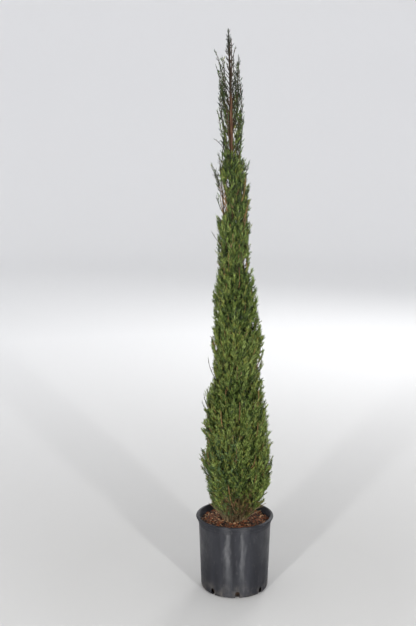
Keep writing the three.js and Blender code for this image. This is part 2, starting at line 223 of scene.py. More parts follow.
def towards_outline(start, angle, length, share):
    """The direction at an angle that brings a shoot's tip to a share of the crown's reach."""
    height = start[2] + 0.85 * length
    flat = start - trunk_point(height)
    away = flat[0] * math.cos(angle) + flat[1] * math.sin(angle)
    widest = lerp(*WIDEST_LEANS, clamp((start[2] - WIDEST_UP_TO) / WIDEST_UP_TO))
    sine = clamp((share * float(reach(height, angle)) - away) / length, -0.1)
    return leaning(angle, min(math.asin(sine), widest))


def bezier(points, t):
    """Places along a Bezier curve of three or four points."""
    t = np.asarray(t, float)[:, None]
    if len(points) == 3:
        a, b, c = points
        return (1 - t) ** 2 * a + 2 * t * (1 - t) * b + t ** 2 * c
    a, b, c, d = points
    return (1 - t) ** 3 * a + 3 * t * (1 - t) ** 2 * b + 3 * t ** 2 * (1 - t) * c + t ** 3 * d


def bough_points(k):
    middle, _ = MIDDLES[k]
    tip = lerp(trunk_point(middle[2]), middle, BOUGH["reach"])
    while depth_in_space(k, tip)[0] > BOUGH["deepest"] and tip[2] > CROWN_FOOT + BOUGH["lowest_tip"]:
        tip[2] -= BOUGH["tip_step"]
    rise = lerp(*BOUGH["rises"], k / len(BOUGH_NODES))
    foot = trunk_point(max(tip[2] - rise, CROWN_FOOT + BOUGH["lowest_foot"] + BOUGH["stagger"] * (k % 3)))
    elbow = np.array([lerp(foot[0], tip[0], 0.8), lerp(foot[1], tip[1], 0.8), lerp(foot[2], tip[2], 0.4)])
    return foot, elbow, tip


def stem_points(k):
    """The mass's stem: on from the bough's tip, or the trunk, to the top of its space."""
    middle, angle = MIDDLES[k]
    if k < len(BOUGH_NODES):
        _, elbow, root = bough_points(k)
        heading = unit(root - elbow)
    else:
        root = trunk_point(middle[2] - STEM["below"])
        heading = leaning(angle, STEM["heading"])
    top = middle.copy()
    while top[2] < middle[2] + STEM["longest"]:
        following = top + STEM["step"] * towards_outline(top, angle, STEM["shoot"], STEM["share"])
        if depth_in_space(k, following)[0] < STEM["margin"] or share_of_reach(following) > 1:
            break
        top = following
    bend = root + heading * 0.3 * np.linalg.norm(root - middle)
    return root, bend, lerp(middle, top, 0.15), top


# ---- Settings that a user would change ----


def length_setting(name, description, default):
    return bpy.props.FloatProperty(name=name, description=description, default=default, unit="LENGTH")


def colour_setting(name, description, default):
    return bpy.props.FloatVectorProperty(name=name, description=description, default=default, subtype="COLOR")


class CypressPotSettings(bpy.types.PropertyGroup):
    sides: bpy.props.IntProperty(name="Sides", description="Facets round the pot", default=144, min=24)
    wall: length_setting("Wall", "Thickness of the pot's wall", 0.003)
    lip_depth: length_setting("Lip depth", "Height of the rolled lip", 0.009)
    foot_radius: length_setting("Foot radius", "Radius where the wall meets the corner", 0.1235)
    corner_radius: length_setting("Corner radius", "Round between wall and base", 0.014)
    drain_count: bpy.props.IntProperty(name="Drains", description="Slots round the foot", default=8, min=0)
    drain_width: length_setting("Drain width", "Width of a slot", 0.0165)
    drain_height: length_setting("Drain height", "Height of a slot", 0.029)
    plastic: colour_setting("Plastic", "Colour of the pot", (0.0115, 0.0120, 0.0150))


class CypressMulchSettings(bpy.types.PropertyGroup):
    chips: bpy.props.IntProperty(name="Chips", description="Bark chips on the mulch", default=3400, min=4)
    chip_length: length_setting("Chip length", "Length of a large chip", 0.021)
    damp: colour_setting("Damp bark", "Darkest chips", (0.014, 0.007, 0.004))
    red: colour_setting("Red bark", "Commonest chips", (0.245, 0.074, 0.026))
    brown: colour_setting("Brown bark", "Weathered chips", (0.095, 0.048, 0.023))
    dry: colour_setting("Dry bark", "Palest chips", (0.520, 0.310, 0.160))


class CypressCrownSettings(bpy.types.PropertyGroup):
    spacing: length_setting("Spacing", "Least distance between the tips of outer plumes", 0.0166)
    plume: length_setting("Plume", "Length of a full branchlet with its sprays", 0.074)
    step: length_setting("Step", "Distance between sprays along a branchlet", 0.0024)
    spray_length: length_setting("Spray length", "Length of a full spray", 0.025)
    cord: bpy.props.FloatProperty(
        name="Cord", description="Thickness of a shoot, as a share of its spray's length", default=0.112)
    open_from: length_setting("Open from", "Height above which the crown is open", 1.56)
    bark: colour_setting("Bark", "Colour of the trunk", (0.075, 0.036, 0.014))
    seed: bpy.props.IntProperty(name="Seed", description="Start of the random numbers", default=11)


# ---- Helpers for meshes ----


def select_only(piece):
    bpy.ops.object.select_all(action="DESELECT")
    piece.select_set(True)
    bpy.context.view_layer.objects.active = piece


def add_object(name, data):
    piece = bpy.data.objects.new(name, data)
    bpy.context.scene.collection.objects.link(piece)
    return piece


def object_from(name, vertices, faces=(), edges=()):
    """A new object with this mesh, made active and the only one selected."""
    mesh = bpy.data.meshes.new(name)
    mesh.from_pydata([tuple(v) for v in vertices], [tuple(e) for e in edges], [tuple(f) for f in faces])
    piece = add_object(name, mesh)
    select_only(piece)
    return piece


def object_from_arrays(name, vertices, triangles):
    """As object_from, for many thousand triangles held in arrays."""
    mesh = bpy.data.meshes.new(name)
    mesh.vertices.add(len(vertices))
    mesh.vertices.foreach_set("co", np.asarray(vertices, np.float32).ravel())
    mesh.loops.add(3 * len(triangles))
    mesh.loops.foreach_set("vertex_index", np.asarray(triangles, np.int32).ravel())
    mesh.polygons.add(len(triangles))
    mesh.polygons.foreach_set("loop_start", np.arange(0, 3 * len(triangles), 3, dtype=np.int32))
    mesh.update(calc_edges=True)
    mesh.validate()
    mesh.polygons.foreach_set("use_smooth", np.ones(len(mesh.polygons), bool))
    return add_object(name, mesh)


def points_of(mesh):
    points = np.zeros(3 * len(mesh.vertices))
    mesh.vertices.foreach_get("co", points)
    return points.reshape(-1, 3)


def move_points(mesh, points):
    mesh.vertices.foreach_set("co", points.ravel())
    mesh.update()


def arc(x, z, radius, start, end, steps):
    angles = np.radians(np.linspace(start, end, steps + 1))
    return [(x + radius * math.cos(a), z + radius * math.sin(a)) for a in angles]


def lathe(name, profile, sides):
    """Spins a profile of (radius, height) points round Z and closes it at the axis."""
    points = [(x, 0, z) for x, z in profile]
    piece = object_from(name, points, edges=[(i, i + 1) for i in range(len(points) - 1)])
    bpy.ops.object.mode_set(mode="EDIT")
    bpy.ops.mesh.select_all(action="SELECT")
    bpy.ops.mesh.spin(steps=sides, angle=2 * math.pi, center=(0, 0, 0), axis=(0, 0, 1))
    bpy.ops.mesh.select_all(action="SELECT")
    bpy.ops.mesh.remove_doubles(threshold=1e-5)
    bpy.ops.mesh.normals_make_consistent(inside=False)
    bpy.ops.object.mode_set(mode="OBJECT")
    return piece


def apply_modifier(piece, kind, **values):
    select_only(piece)
    modifier = piece.modifiers.new(kind.title(), kind)
    for key, value in values.items():
        setattr(modifier, key, value)
    bpy.ops.object.modifier_apply(modifier=modifier.name)


def smooth(piece, degrees):
    select_only(piece)
    bpy.ops.object.shade_smooth_by_angle(angle=math.radians(degrees))


def finish_piece(piece, material, nodes=()):
    piece.data.materials.clear()
    piece.data.materials.append(material)
    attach(piece, "root")
    if nodes:
        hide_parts(*nodes)


def tubes(name, paths, radii, sides):
    """One mesh of round tapering limbs. Each path is an array of points, with a radius for each."""
    curve = bpy.data.curves.new(name, "CURVE")
    curve.dimensions = "3D"
    curve.bevel_depth = 1.0
    curve.bevel_resolution = max(0, sides // 4 - 1)
    curve.use_fill_caps = True
    for path, sizes in zip(paths, radii):
        spline = curve.splines.new("POLY")
        spline.points.add(len(path) - 1)
        spline.points.foreach_set("co", np.column_stack([path, np.ones(len(path))]).ravel())
        spline.points.foreach_set("radius", np.asarray(sizes, float))
    select_only(add_object(name, curve))
    bpy.ops.object.convert(target="MESH")
    bpy.ops.object.shade_smooth()
    return bpy.context.view_layer.objects.active


# ---- Shader node groups and materials ----


def link(tree, source, target):
    tree.links.new(source, target)


def add_node(tree, kind, **inputs):
    node = tree.nodes.new(kind)
    for key, value in inputs.items():
        node.inputs[key.replace("_", " ")].default_value = value
    return node


def object_place(tree):
    return tree.nodes.new("ShaderNodeTexCoord").outputs["Object"]


def mottle_group():
    """Noise in the object's own space, stretched along Z, as a factor and a height."""
    group = bpy.data.node_groups.get("Mottle")
    if group:
        return group
    group = bpy.data.node_groups.new("Mottle", "ShaderNodeTree")
    for name, default in (("Scale", 100.0), ("Stretch", 1.0), ("Detail", 4.0)):
        socket = group.interface.new_socket(name, in_out="INPUT", socket_type="NodeSocketFloat")
        socket.default_value = default
    group.interface.new_socket("Factor", in_out="OUTPUT", socket_type="NodeSocketFloat")
    inside = group.nodes.new("NodeGroupInput")
    outside = group.nodes.new("NodeGroupOutput")
    squash = group.nodes.new("ShaderNodeCombineXYZ")
    squash.inputs[0].default_value = 1
    squash.inputs[1].default_value = 1
    mapping = group.nodes.new("ShaderNodeMapping")
    noise = group.nodes.new("ShaderNodeTexNoise")
    link(group, inside.outputs["Stretch"], squash.inputs[2])
    link(group, object_place(group), mapping.inputs["Vector"])
    link(group, squash.outputs[0], mapping.inputs["Scale"])
    link(group, mapping.outputs[0], noise.inputs["Vector"])
    link(group, inside.outputs["Scale"], noise.inputs["Scale"])
    link(group, inside.outputs["Detail"], noise.inputs["Detail"])
    link(group, noise.outputs["Fac"], outside.inputs["Factor"])
    return group


def mottle(tree, scale, stretch=1.0, detail=4.0):
    node = tree.nodes.new("ShaderNodeGroup")
    node.node_tree = mottle_group()
    node.inputs["Scale"].default_value = scale
    node.inputs["Stretch"].default_value = stretch
    node.inputs["Detail"].default_value = detail
    return node.outputs["Factor"]


def ramp(tree, factor, stops):
    """A colour ramp over a factor. Each stop is (position, colour)."""
    node = tree.nodes.new("ShaderNodeValToRGB")
    elements = node.color_ramp.elements
    while len(elements) < len(stops):
        elements.new(0.5)
    for element, (position, colour) in zip(elements, stops):
        element.position = position
        element.color = (*colour, 1)
    link(tree, factor, node.inputs["Fac"])
    return node.outputs["Color"]


def new_material(name, roughness, **sockets):
    material = bpy.data.materials.new(name)
    material.use_nodes = True
    shader = material.node_tree.nodes["Principled BSDF"]
    shader.inputs["Roughness"].default_value = roughness
    for key, value in sockets.items():
        shader.inputs[key.replace("_", " ")].default_value = value
    return material, material.node_tree, shader


def bump(tree, shader, height, strength, distance, under=None):
    node = add_node(tree, "ShaderNodeBump", Strength=strength, Distance=distance)
    link(tree, height, node.inputs["Height"])
    if under:
        link(tree, under, node.inputs["Normal"])
    link(tree, node.outputs[0], shader.inputs["Normal"])
    return node.outputs[0]


def map_range(tree, value, start, end, first=0, last=1):
    """A value that runs from first to last while the one it reads runs from start to end."""
    node = add_node(tree, "ShaderNodeMapRange", From_Min=start, From_Max=end, To_Min=first, To_Max=last)
    link(tree, value, node.inputs["Value"])
    return node.outputs["Result"]


def height_mask(tree, low, high):
    """1 below the low height, falling to 0 at the high one."""
    split = tree.nodes.new("ShaderNodeSeparateXYZ")
    link(tree, object_place(tree), split.inputs[0])
    return map_range(tree, split.outputs["Z"], low, high, 1, 0)


def combine(tree, operation, a, b):
    """One value from two, each a number or a socket."""
    node = tree.nodes.new("ShaderNodeMath")
    node.operation = operation
    for socket, value in zip(node.inputs, (a, b)):
        if isinstance(value, (int, float)):
            socket.default_value = value
        else:
            link(tree, value, socket)
    return node.outputs[0]


def mix_colours(tree, factor, a, b):
    node = tree.nodes.new("ShaderNodeMix")
    node.data_type = "RGBA"
    for socket, value in ((node.inputs[6], a), (node.inputs[7], b)):
        if isinstance(value, tuple):
            socket.default_value = (*value, 1)
        else:
            link(tree, value, socket)
    link(tree, factor, node.inputs[0])
    return node.outputs[2]


def plastic_material(colour):
    """Black moulded plastic: its fine level ridges draw highlights out along Z; dust gathers at the foot."""
    plastic = {"Anisotropic": 1.0, "Anisotropic_Rotation": 0.25, "Specular_IOR_Level": 0.40}
    material, tree, shader = new_material("pot_plastic", 0.36, **plastic)
    lighter = tuple(c * 1.5 + 0.003 for c in colour)
    base = ramp(tree, mottle(tree, 45, 0.1, 4), [(0.35, colour), (0.7, lighter)])
    dust = ramp(tree, mottle(tree, 38, 1, 8), [(0.44, (0, 0, 0)), (0.70, (1, 1, 1))])
    foot = combine(tree, "MULTIPLY", combine(tree, "MULTIPLY", dust, height_mask(tree, 0.004, 0.060)), 0.45)
    scuffs = ramp(tree, mottle(tree, 95, 0.35, 8), [(0.60, (0, 0, 0)), (0.66, (1, 1, 1))])
    scuffed = mix_colours(tree, combine(tree, "MULTIPLY", scuffs, 0.10), base, (0.15, 0.14, 0.14))
    link(tree, mix_colours(tree, foot, scuffed, (0.17, 0.15, 0.125)), shader.inputs["Base Color"])
    rough = map_range(tree, mottle(tree, 34, 0.8, 6), 0, 1, 0.18, 0.58)
    worn = combine(tree, "MULTIPLY", height_mask(tree, 0.020, 0.160), 0.42)
    band = combine(tree, "MULTIPLY", height_mask(tree, POT_HEIGHT - 0.024, POT_HEIGHT - 0.034), 0.30)
    rougher = combine(tree, "ADD", rough, combine(tree, "ADD", worn, band))
    link(tree, rougher, shader.inputs["Roughness"])
    waves = bump(tree, shader, mottle(tree, 17, 0.8, 3), 0.6, 0.006)
    bump(tree, shader, mottle(tree, 30, 25, 3), 0.25, 0.0006, waves)
    return material


def mottled_material(name, roughness, pattern, stops, grain, strength, depth, **sockets):
    """Colours dealt out by one mottle, with the bump of a finer one."""
    material, tree, shader = new_material(name, roughness, **sockets)
    link(tree, ramp(tree, mottle(tree, *pattern), stops), shader.inputs["Base Color"])
    bump(tree, shader, mottle(tree, *grain), strength, depth)
    return material


def toned(colour, factor):
    return tuple(min(1, c * factor) for c in colour)


def mulch_material(name, colour):
    """Bark of one colour, darker and lighter in mottles, with grain."""
    stops = [(0.30, toned(colour, 0.45)), (0.55, colour), (0.78, toned(colour, 1.35))]
    return mottled_material(name, 0.85, (240, 1, 5), stops, (520, 0.5, 5), 0.5, 0.0012)


def bark_material(colour):
    """Thin stringy bark: brown with grey flakes, red-brown in the open top, and near-black in the youngest
    wood at the very top, which is painted shade.
    """
    material, tree, shader = new_material("bark", 0.82, Specular_IOR_Level=0.25)
    grey = tuple(0.60 * c + flake for c, flake in zip(colour, (0.040, 0.031, 0.020)))
    strings = mottle(tree, 260, 0.09, 6)
    base = ramp(tree, strings, [(0.39, toned(colour, 0.38)), (0.5, colour), (0.62, grey)])
    red_stops = [(0.39, (0.024, 0.009, 0.004)), (0.5, (0.068, 0.029, 0.013)), (0.62, (0.105, 0.060, 0.034))]
    grown = mix_colours(tree, height_mask(tree, 1.48, 1.60), ramp(tree, strings, red_stops), base)
    # painted shade: near-black bark above this height, at the top of the tree
    below_shaded_top = height_mask(tree, TREE_TOP - 0.235, TREE_TOP - 0.205)
    link(tree, mix_colours(tree, below_shaded_top, (0.018, 0.014, 0.008), grown), shader.inputs["Base Color"])
    bump(tree, shader, strings, 0.6, 0.0015)
    return material


def twig_material():
    """Young bark, brown with a touch of green."""
    stops = [(0.35, (0.020, 0.013, 0.007)), (0.55, (0.052, 0.030, 0.014)), (0.75, (0.040, 0.036, 0.014))]
    pattern, grain = (60, 0.3, 5), (600, 0.2, 3)
    return mottled_material("twig_bark", 0.8, pattern, stops, grain, 0.4, 0.0006, Specular_IOR_Level=0.25)


def pale_twig_material():
    """Twigs that have lost their leaves: orange-brown, and tan at the crown's foot."""
    material, tree, shader = new_material("twig_pale", 0.75)
    stops = [(0.35, (0.090, 0.043, 0.014)), (0.55, (0.200, 0.105, 0.035)), (0.75, (0.270, 0.180, 0.080))]
    low = ramp(tree, mottle(tree, 90, 0.3, 5), [(0.35, (0.070, 0.052, 0.023)), (0.7, (0.235, 0.175, 0.090))])
    high = ramp(tree, mottle(tree, 45, 0.3, 5), stops)
    link(tree, mix_colours(tree, height_mask(tree, 0.33, 0.37), high, low), shader.inputs["Base Color"])
    bump(tree, shader, mottle(tree, 600, 0.2, 3), 0.4, 0.0006)
    return material


def paint_material():
    """Studio paint with painted shade: light grey underfoot, palest some way off, and light grey again far
    away.
    """
    material, tree, shader = new_material("studio_paint", 0.9)
    distance = tree.nodes.new("ShaderNodeVectorMath")
    distance.operation = "LENGTH"
    link(tree, object_place(tree), distance.inputs[0])
    pale = (0.90, 0.90, 0.90)
    # painted shade: darker about the plant and again far off, palest between
    stops = [(0.0, (0.53, 0.525, 0.515)), (0.40, pale), (0.68, pale), (1.0, (0.82, 0.82, 0.83))]
    away = map_range(tree, distance.outputs["Value"], 0.6, 9.6)
    link(tree, ramp(tree, away, stops), shader.inputs["Base Color"])
    return material


def leaf_material(name, colour):
    """Scale leaves: one green, a little uneven, with the bump of overlapping scales."""
    stops = [(0.3, toned(colour, 0.60)), (0.7, toned(colour, 1.45))]
    scales = (1500, 1, 1)
    return mottled_material(name, 0.55, (120, 1, 3), stops, scales, 0.4, 0.0005, Specular_IOR_Level=0.38)


# ---- The pot and its mulch ----

BAND = {"height": 0.022, "inset": 0.007, "wall_inset": 0.0095}  # under the lip; insets from the lip's radius
BASE_INSET = 0.012  # of the flat underside from the corner
EDGE = 0.0015  # round of the lip's inner edge
DRAIN = {"first_angle": math.radians(-86), "below": 0.004, "outside": 0.01, "depth": 0.03}
MULCH = {
    "edge": 0.2530,  # height at the wall
    "drop": 0.002,  # of the substrate at the trunk, below the chips
    "flat_radius": 0.02,
    "slope": 0.105,  # length of the mound's fall, outwards from the flat
    "drawn_back": 0.013,  # from the drains
    "chip_radius": 0.1290,  # the furthest out that a chip reaches
}
CHIP_SHARES = {"damp": 0.26, "red": 0.38, "brown": 0.25, "dry": 0.11}


class CypressPot(bpy.types.Operator):
    """Spins the pot from its wall section and cuts the drains through the foot"""

    bl_idname = "cypress.pot"
    bl_label = "Pot"

    def execute(self, context):
        size = context.scene.cypress_pot
        wall, corner, foot = size.wall, size.corner_radius, size.foot_radius
        step = POT_HEIGHT - BAND["height"]
        band, upper = LIP_RADIUS - BAND["inset"], LIP_RADIUS - BAND["wall_inset"]
        roll, under_lip = size.lip_depth / 2, POT_HEIGHT - size.lip_depth
        inner_corner = corner - wall
        profile = [(0, 0.0), (foot - corner - BASE_INSET, 0.0)]
        profile += arc(foot - corner, corner, corner, -90, 0, 10)
        profile += [(upper - 0.0003, step - 0.004), (upper + 0.0004, step - 0.0015), (band - 0.0006, step)]
        profile += [(band, step + 0.0012), (band, under_lip - 0.0015), (band + 0.0009, under_lip)]
        profile += arc(LIP_RADIUS - roll, POT_HEIGHT - roll, roll, -90, 90, 12)
        profile += arc(band - wall + EDGE, POT_HEIGHT - EDGE, EDGE, 90, 180, 4)
        profile += [(band - wall, step + 0.001), (upper - wall, step - 0.002)]
        profile += arc(foot - wall - inner_corner, corner, inner_corner, 0, -90, 6)
        profile += [(0, wall)]
        pot = lathe("pot_shell", profile, size.sides)
        cutter = self.drain_cutter(size)
        apply_modifier(pot, "BOOLEAN", object=cutter, operation="DIFFERENCE", solver="EXACT")
        bpy.data.objects.remove(cutter)
        smooth(pot, 35)
        finish_piece(pot, plastic_material(tuple(size.plastic)), ["pot"])
        return {"FINISHED"}

    def drain_cutter(self, size):
        """Round-topped slots in a ring, joined."""
        half, low = size.drain_width / 2, -DRAIN["below"]
        outline = [(half, low)] + arc(0, size.drain_height - half, half, 0, 180, 12) + [(-half, low)]
        count = len(outline)
        outside = size.foot_radius + DRAIN["outside"]
        vertices, faces = [], []
        for i in range(size.drain_count):
            turn = DRAIN["first_angle"] + 2 * math.pi * i / size.drain_count
            out = np.array([math.cos(turn), math.sin(turn), 0])
            side = np.array([-out[1], out[0], 0])
            first = len(vertices)
            for away in (outside, outside - DRAIN["depth"]):
                vertices += [out * away + side * x + np.array([0, 0, z]) for x, z in outline]
            front = range(first, first + count)
            faces += [front, [i + count for i in reversed(front)]]
            for j in range(count):
                following = (j + 1) % count
                faces.append((first + following, first + j, first + count + j, first + count + following))
        cutter = object_from("drain_cutter", vertices, faces)
        bpy.ops.object.mode_set(mode="EDIT")
        bpy.ops.mesh.select_all(action="SELECT")
        bpy.ops.mesh.normals_make_consistent(inside=False)
        bpy.ops.object.mode_set(mode="OBJECT")
        return cutter


def chip_shape(rng):
    """A strip of bark of unit length: an irregular six-sided flake, crowned above and flat behind."""
    count = 6
    slim = rng.uniform(0.22, 0.48)
    angles = np.linspace(0, 2 * math.pi, count, endpoint=False) + rng.uniform(-0.3, 0.3, count)
    radii = rng.uniform(0.36, 0.5, count)
    curl = rng.uniform(-0.03, 0.05, count)
    ring = np.column_stack([radii * np.cos(angles), slim * radii * np.sin(angles), curl])
    vertices = np.vstack([ring, [[0.04, 0, 0.10]], [[0, 0, -0.06]]])
    faces = [(i, (i + 1) % count, count) for i in range(count)]
    faces += [((i + 1) % count, i, count + 1) for i in range(count)]
    return vertices, np.array(faces)


def turned(vertices, angles):
    """Vertices turned about X, then Y, then Z."""
    (cx, cy, cz), (sx, sy, sz) = np.cos(angles), np.sin(angles)
    about_x = np.array([[1, 0, 0], [0, cx, -sx], [0, sx, cx]])
    about_y = np.array([[cy, 0, sy], [0, 1, 0], [-sy, 0, cy]])
    about_z = np.array([[cz, -sz, 0], [sz, cz, 0], [0, 0, 1]])
    return vertices @ (about_z @ about_y @ about_x).T


def mulch_height(x, y):
    """The mound of mulch: low at the wall, highest at the trunk, with soft bumps."""
    radius = np.hypot(x, y)
    down = np.clip((radius - MULCH["flat_radius"]) / MULCH["slope"], 0, 1) ** 1.6
    mound = lerp(CROWN_FOOT - MULCH["drop"], MULCH["edge"], down)
    bumps = np.sin(61 * x + 1.3) * np.sin(53 * y) + 0.6 * np.sin(117 * x) * np.sin(131 * y + 0.7)
    return mound + 0.0016 * bumps * np.clip((0.128 - radius) / 0.02, 0, 1)


class CypressMulch(bpy.types.Operator):
    """Fills the pot with substrate and scatters bark chips over it"""

    bl_idname = "cypress.mulch"
    bl_label = "Mulch"

    def execute(self, context):
        settings = context.scene.cypress_mulch
        self.bed(context.scene.cypress_pot, settings)
        rng = np.random.default_rng(5)
        shapes = [chip_shape(rng) for _ in range(16)]
        for name, share in CHIP_SHARES.items():
            colour = tuple(getattr(settings, name))
            self.chips(settings, rng, shapes, "chips_" + name, int(share * settings.chips), colour)
        return {"FINISHED"}

    def bed(self, pot, settings):
        """The substrate: a solid of revolution inside the pot's wall, with a rough top."""
        inner_foot = pot.foot_radius - pot.wall - CLEARANCE
        edge = MULCH_HIGH.x
        corner = pot.corner_radius - pot.wall
        shrunk = inner_foot - MULCH["drawn_back"]
        level = MULCH["edge"] + 0.0005  # of the top, until the mound's height is given to it
        profile = [(0, pot.wall + CLEARANCE)]
        profile += arc(shrunk - corner, pot.corner_radius, corner - CLEARANCE, -90, 0, 6)
        profile += [(shrunk, 0.030), (inner_foot + 0.001, 0.042), (edge, MULCH["edge"])]
        profile += [(radius, level) for radius in np.linspace(edge - 0.002, 0.006, 40)] + [(0, level)]
        bed = lathe("mulch_bed", profile, 120)
        points = points_of(bed.data)
        top = points[:, 2] > level - 0.0003
        rough = np.random.default_rng(3).normal(0, 0.0009, len(points))
        points[top, 2] = (mulch_height(points[:, 0], points[:, 1]) + rough)[top]
        move_points(bed.data, points)
        smooth(bed, 60)
        # the substrate's own dark colour, made darker still as painted shade in the drain slots
        soil_and_shade = tuple(lerp(a, b, 0.2) for a, b in zip(settings.damp, settings.brown))
        finish_piece(bed, mulch_material("mulch_ground", soil_and_shade), ["mulch"])

    def chips(self, settings, rng, shapes, name, count, colour):
        """Chips of one colour, most of them lying flat, sizes falling off towards crumbs."""
        vertices, triangles, first = [], [], 0
        while len(vertices) < count:
            shape, faces = shapes[rng.integers(len(shapes))]
            radius = (MULCH["chip_radius"] - 0.001) * math.sqrt(rng.uniform(0.02, 1))
            angle = rng.uniform(0, 2 * math.pi)
            x, y = radius * math.cos(angle), radius * math.sin(angle)
            length = settings.chip_length * lerp(0.32, 1.1, rng.uniform() ** 1.6)
            turn = np.array([rng.normal(0, 0.40), rng.normal(0, 0.28), rng.uniform(0, 2 * math.pi)])
            lift = 0.0008 + 0.0035 * rng.uniform()
            chip = turned(shape * length, turn) + np.array([x, y, float(mulch_height(x, y)) + lift])
            if np.hypot(chip[:, 0], chip[:, 1]).max() > MULCH["chip_radius"]:
                continue
            vertices.append(chip)
            triangles.append(faces + first)
            first += len(chip)
        piece = object_from_arrays(name, np.vstack(vertices), np.vstack(triangles))
        smooth(piece, 30)
        finish_piece(piece, mulch_material(name, colour))


# ---- Trunk, boughs and twigs ----


def bark_relief(points, centres, radii, seed):
    """Moves a limb's surface in and out in strings that run along it."""
    flat = points - centres
    angle = np.arctan2(flat[:, 1], flat[:, 0])
    z = points[:, 2]
    rng = np.random.default_rng(seed)
    relief = np.zeros(len(points))
    for count in (5, 8, 13, 21):
        drift = rng.uniform(4, 12)
        phase = rng.uniform(0, 6.3, 2)
        relief += np.abs(np.sin(0.5 * count * angle + phase[0] + 1.6 * np.sin(drift * z + phase[1]))) - 0.6
    relief += 0.8 * np.sin(31 * z + 3 * np.sin(angle)) * np.sin(73 * z + 1)
    scale = np.minimum(0.055 * radii, 0.0011)
    length = np.maximum(np.linalg.norm(flat, axis=1), 1e-9)
    return points + flat / length[:, None] * (relief * scale)[:, None]


class CypressTrunk(bpy.types.Operator):
    """Makes the trunk with its flare, taper, lean and stringy bark"""

    bl_idname = "cypress.trunk"
    bl_label = "Trunk"

    def execute(self, context):
        foot = CROWN_FOOT + CLEARANCE
        heights = foot + (TREE_TOP - foot) * np.linspace(0, 1, 520) ** 1.15
        path = trunk_point(heights)
        trunk = tubes("trunk_bark", [path], [trunk_radius(heights)], 40)
        points = points_of(trunk.data)
        points = bark_relief(points, trunk_point(points[:, 2]), trunk_radius(points[:, 2]), 2)
        points[:, 2] = np.maximum(points[:, 2], foot)
        move_points(trunk.data, points)
        colour = tuple(context.scene.cypress_crown.bark)
        finish_piece(trunk, bark_material(colour), ["trunk"])
        return {"FINISHED"}


class CypressBoughs(bpy.types.Operator):
    """Makes the boughs, each with a collar where it leaves the trunk"""

    bl_idname = "cypress.boughs"
    bl_label = "Boughs"

    def execute(self, context):
        paths, radii = [], []
        steps = np.linspace(0, 1, 26)
        for k in range(len(BOUGH_NODES)):
            path = bezier(bough_points(k), steps)
            size = lerp(*BOUGH["radii"], k / len(BOUGH_NODES))
            collar = 0.35 * size * np.exp(-((steps / 0.22) ** 2))
            rng = np.random.default_rng(40 + k)
            knots = 1 + 0.06 * np.sin(rng.uniform(14, 22) * steps + rng.uniform(0, 6))
            paths.append(path)
            radii.append(lerp(size, BOUGH["tip_share"] * size, steps) * knots + collar)
        boughs = tubes("boughs_bark", paths, radii, 16)
        finish_piece(boughs, bpy.data.materials["bark"], BOUGH_NODES)
        return {"FINISHED"}


# ---- Sprays ----

# Kinds of spray: number of shapes, thickness in cords, shoots, the longest one and their leans in degrees.
SPRAY_KINDS = {
    "full": (8, 1, 4, 0.38, (24, 44)),
    "slim": (4, 1.5, 2, 0.45, (24, 42)),
    "cord": (4, 1.4, 2, 0.26, (28, 44)),
}
ROLLS = (0, 6.28)
BLADE_FACES = np.array([(0, 1, 2), (0, 2, 3)])


def blades(starts, ends, widths, rolls):
    """Slender pointed shoots, each folded along its middle: four points and two triangles."""
    starts, ends = np.asarray(starts, float), np.asarray(ends, float)
    along = ends - starts
    along /= np.maximum(np.linalg.norm(along, axis=1), 1e-9)[:, None]
    helper = np.where(np.abs(along[:, :1]) < 0.8, [[1.0, 0, 0]], [[0, 1.0, 0]])
    side = np.cross(along, helper)
    side /= np.linalg.norm(side, axis=1)[:, None]
    other = np.cross(along, side)
    cosine, sine = np.cos(rolls)[:, None], np.sin(rolls)[:, None]
    half = np.asarray(widths)[:, None] / 2
    across = half * (cosine * side + sine * other)
    behind = 0.6 * half * (cosine * other - sine * side)
    middle = lerp(starts, ends, 0.55)
    points = np.stack([starts, middle + across - behind, ends, middle - across - behind], axis=1)
    faces = BLADE_FACES[None] + 4 * np.arange(len(starts))[:, None, None]
    return points.reshape(-1, 3), faces.reshape(-1, 3)


def spray_shape(rng, cord, count, longest, leans):
    """A spray of unit length along Z: a cord-like axis set all round with short shoots."""
    starts, ends = [np.array([0, 0, -0.04])], [np.array([0, 0, 1.0])]
    for i in range(count):
        u = lerp(0.04, 0.80, (i + rng.uniform(0, 0.6)) / count)
        lean = math.radians(rng.uniform(*leans))
        length = (longest * (1 - u) ** 0.5 + 0.05) * rng.uniform(0.7, 1.2)
        starts.append(np.array([0, 0, u]))
        ends.append(starts[-1] + length * leaning(i * GOLDEN_ANGLE + rng.uniform(-0.4, 0.4), lean))
    widths = np.append(cord, np.full(count, 0.85 * cord))
    return blades(starts, ends, widths, rng.uniform(*ROLLS, count + 1))


class SprayBin:
    """Collects the sprays of one tone and joins them into a mesh."""

    def __init__(self, shapes):
        self.shapes = shapes
        self.placed = [[] for _ in shapes]

    def add(self, shape, root, along, length, roll, bend):
        self.placed[shape].append((*root, *along, length, roll, bend))

    def arrays(self):
        vertices, triangles, first = [], [], 0
        for (shape, faces), rows in zip(self.shapes, self.placed):
            if not rows:
                continue
            rows = np.array(rows)
            root, along = rows[:, 0:3], rows[:, 3:6]
            length, roll, bend = rows[:, 6], rows[:, 7], rows[:, 8]
            level = np.column_stack([-along[:, 1], along[:, 0] + 1e-9, 0 * roll])  # not 0 on an upright one
            level /= np.linalg.norm(level, axis=1)[:, None]
            upright = np.cross(along, level)
            across = level * np.cos(roll)[:, None] + upright * np.sin(roll)[:, None]
            facing = np.cross(along, across)
            axes = np.stack([across, facing, along], axis=1)
            points = np.einsum("vi,nij->nvj", shape, axes)
            points[:, :, 2] += bend[:, None] * np.clip(shape[None, :, 2], 0, 1) ** 2
            points = root[:, None, :] + points * length[:, None, None]
            count, size = points.shape[:2]
            vertices.append(points.reshape(-1, 3))
            offsets = first + size * np.arange(count)
            triangles.append((faces[None, :, :] + offsets[:, None, None]).reshape(-1, 3))
            first += count * size
        return np.vstack(vertices), np.vstack(triangles)
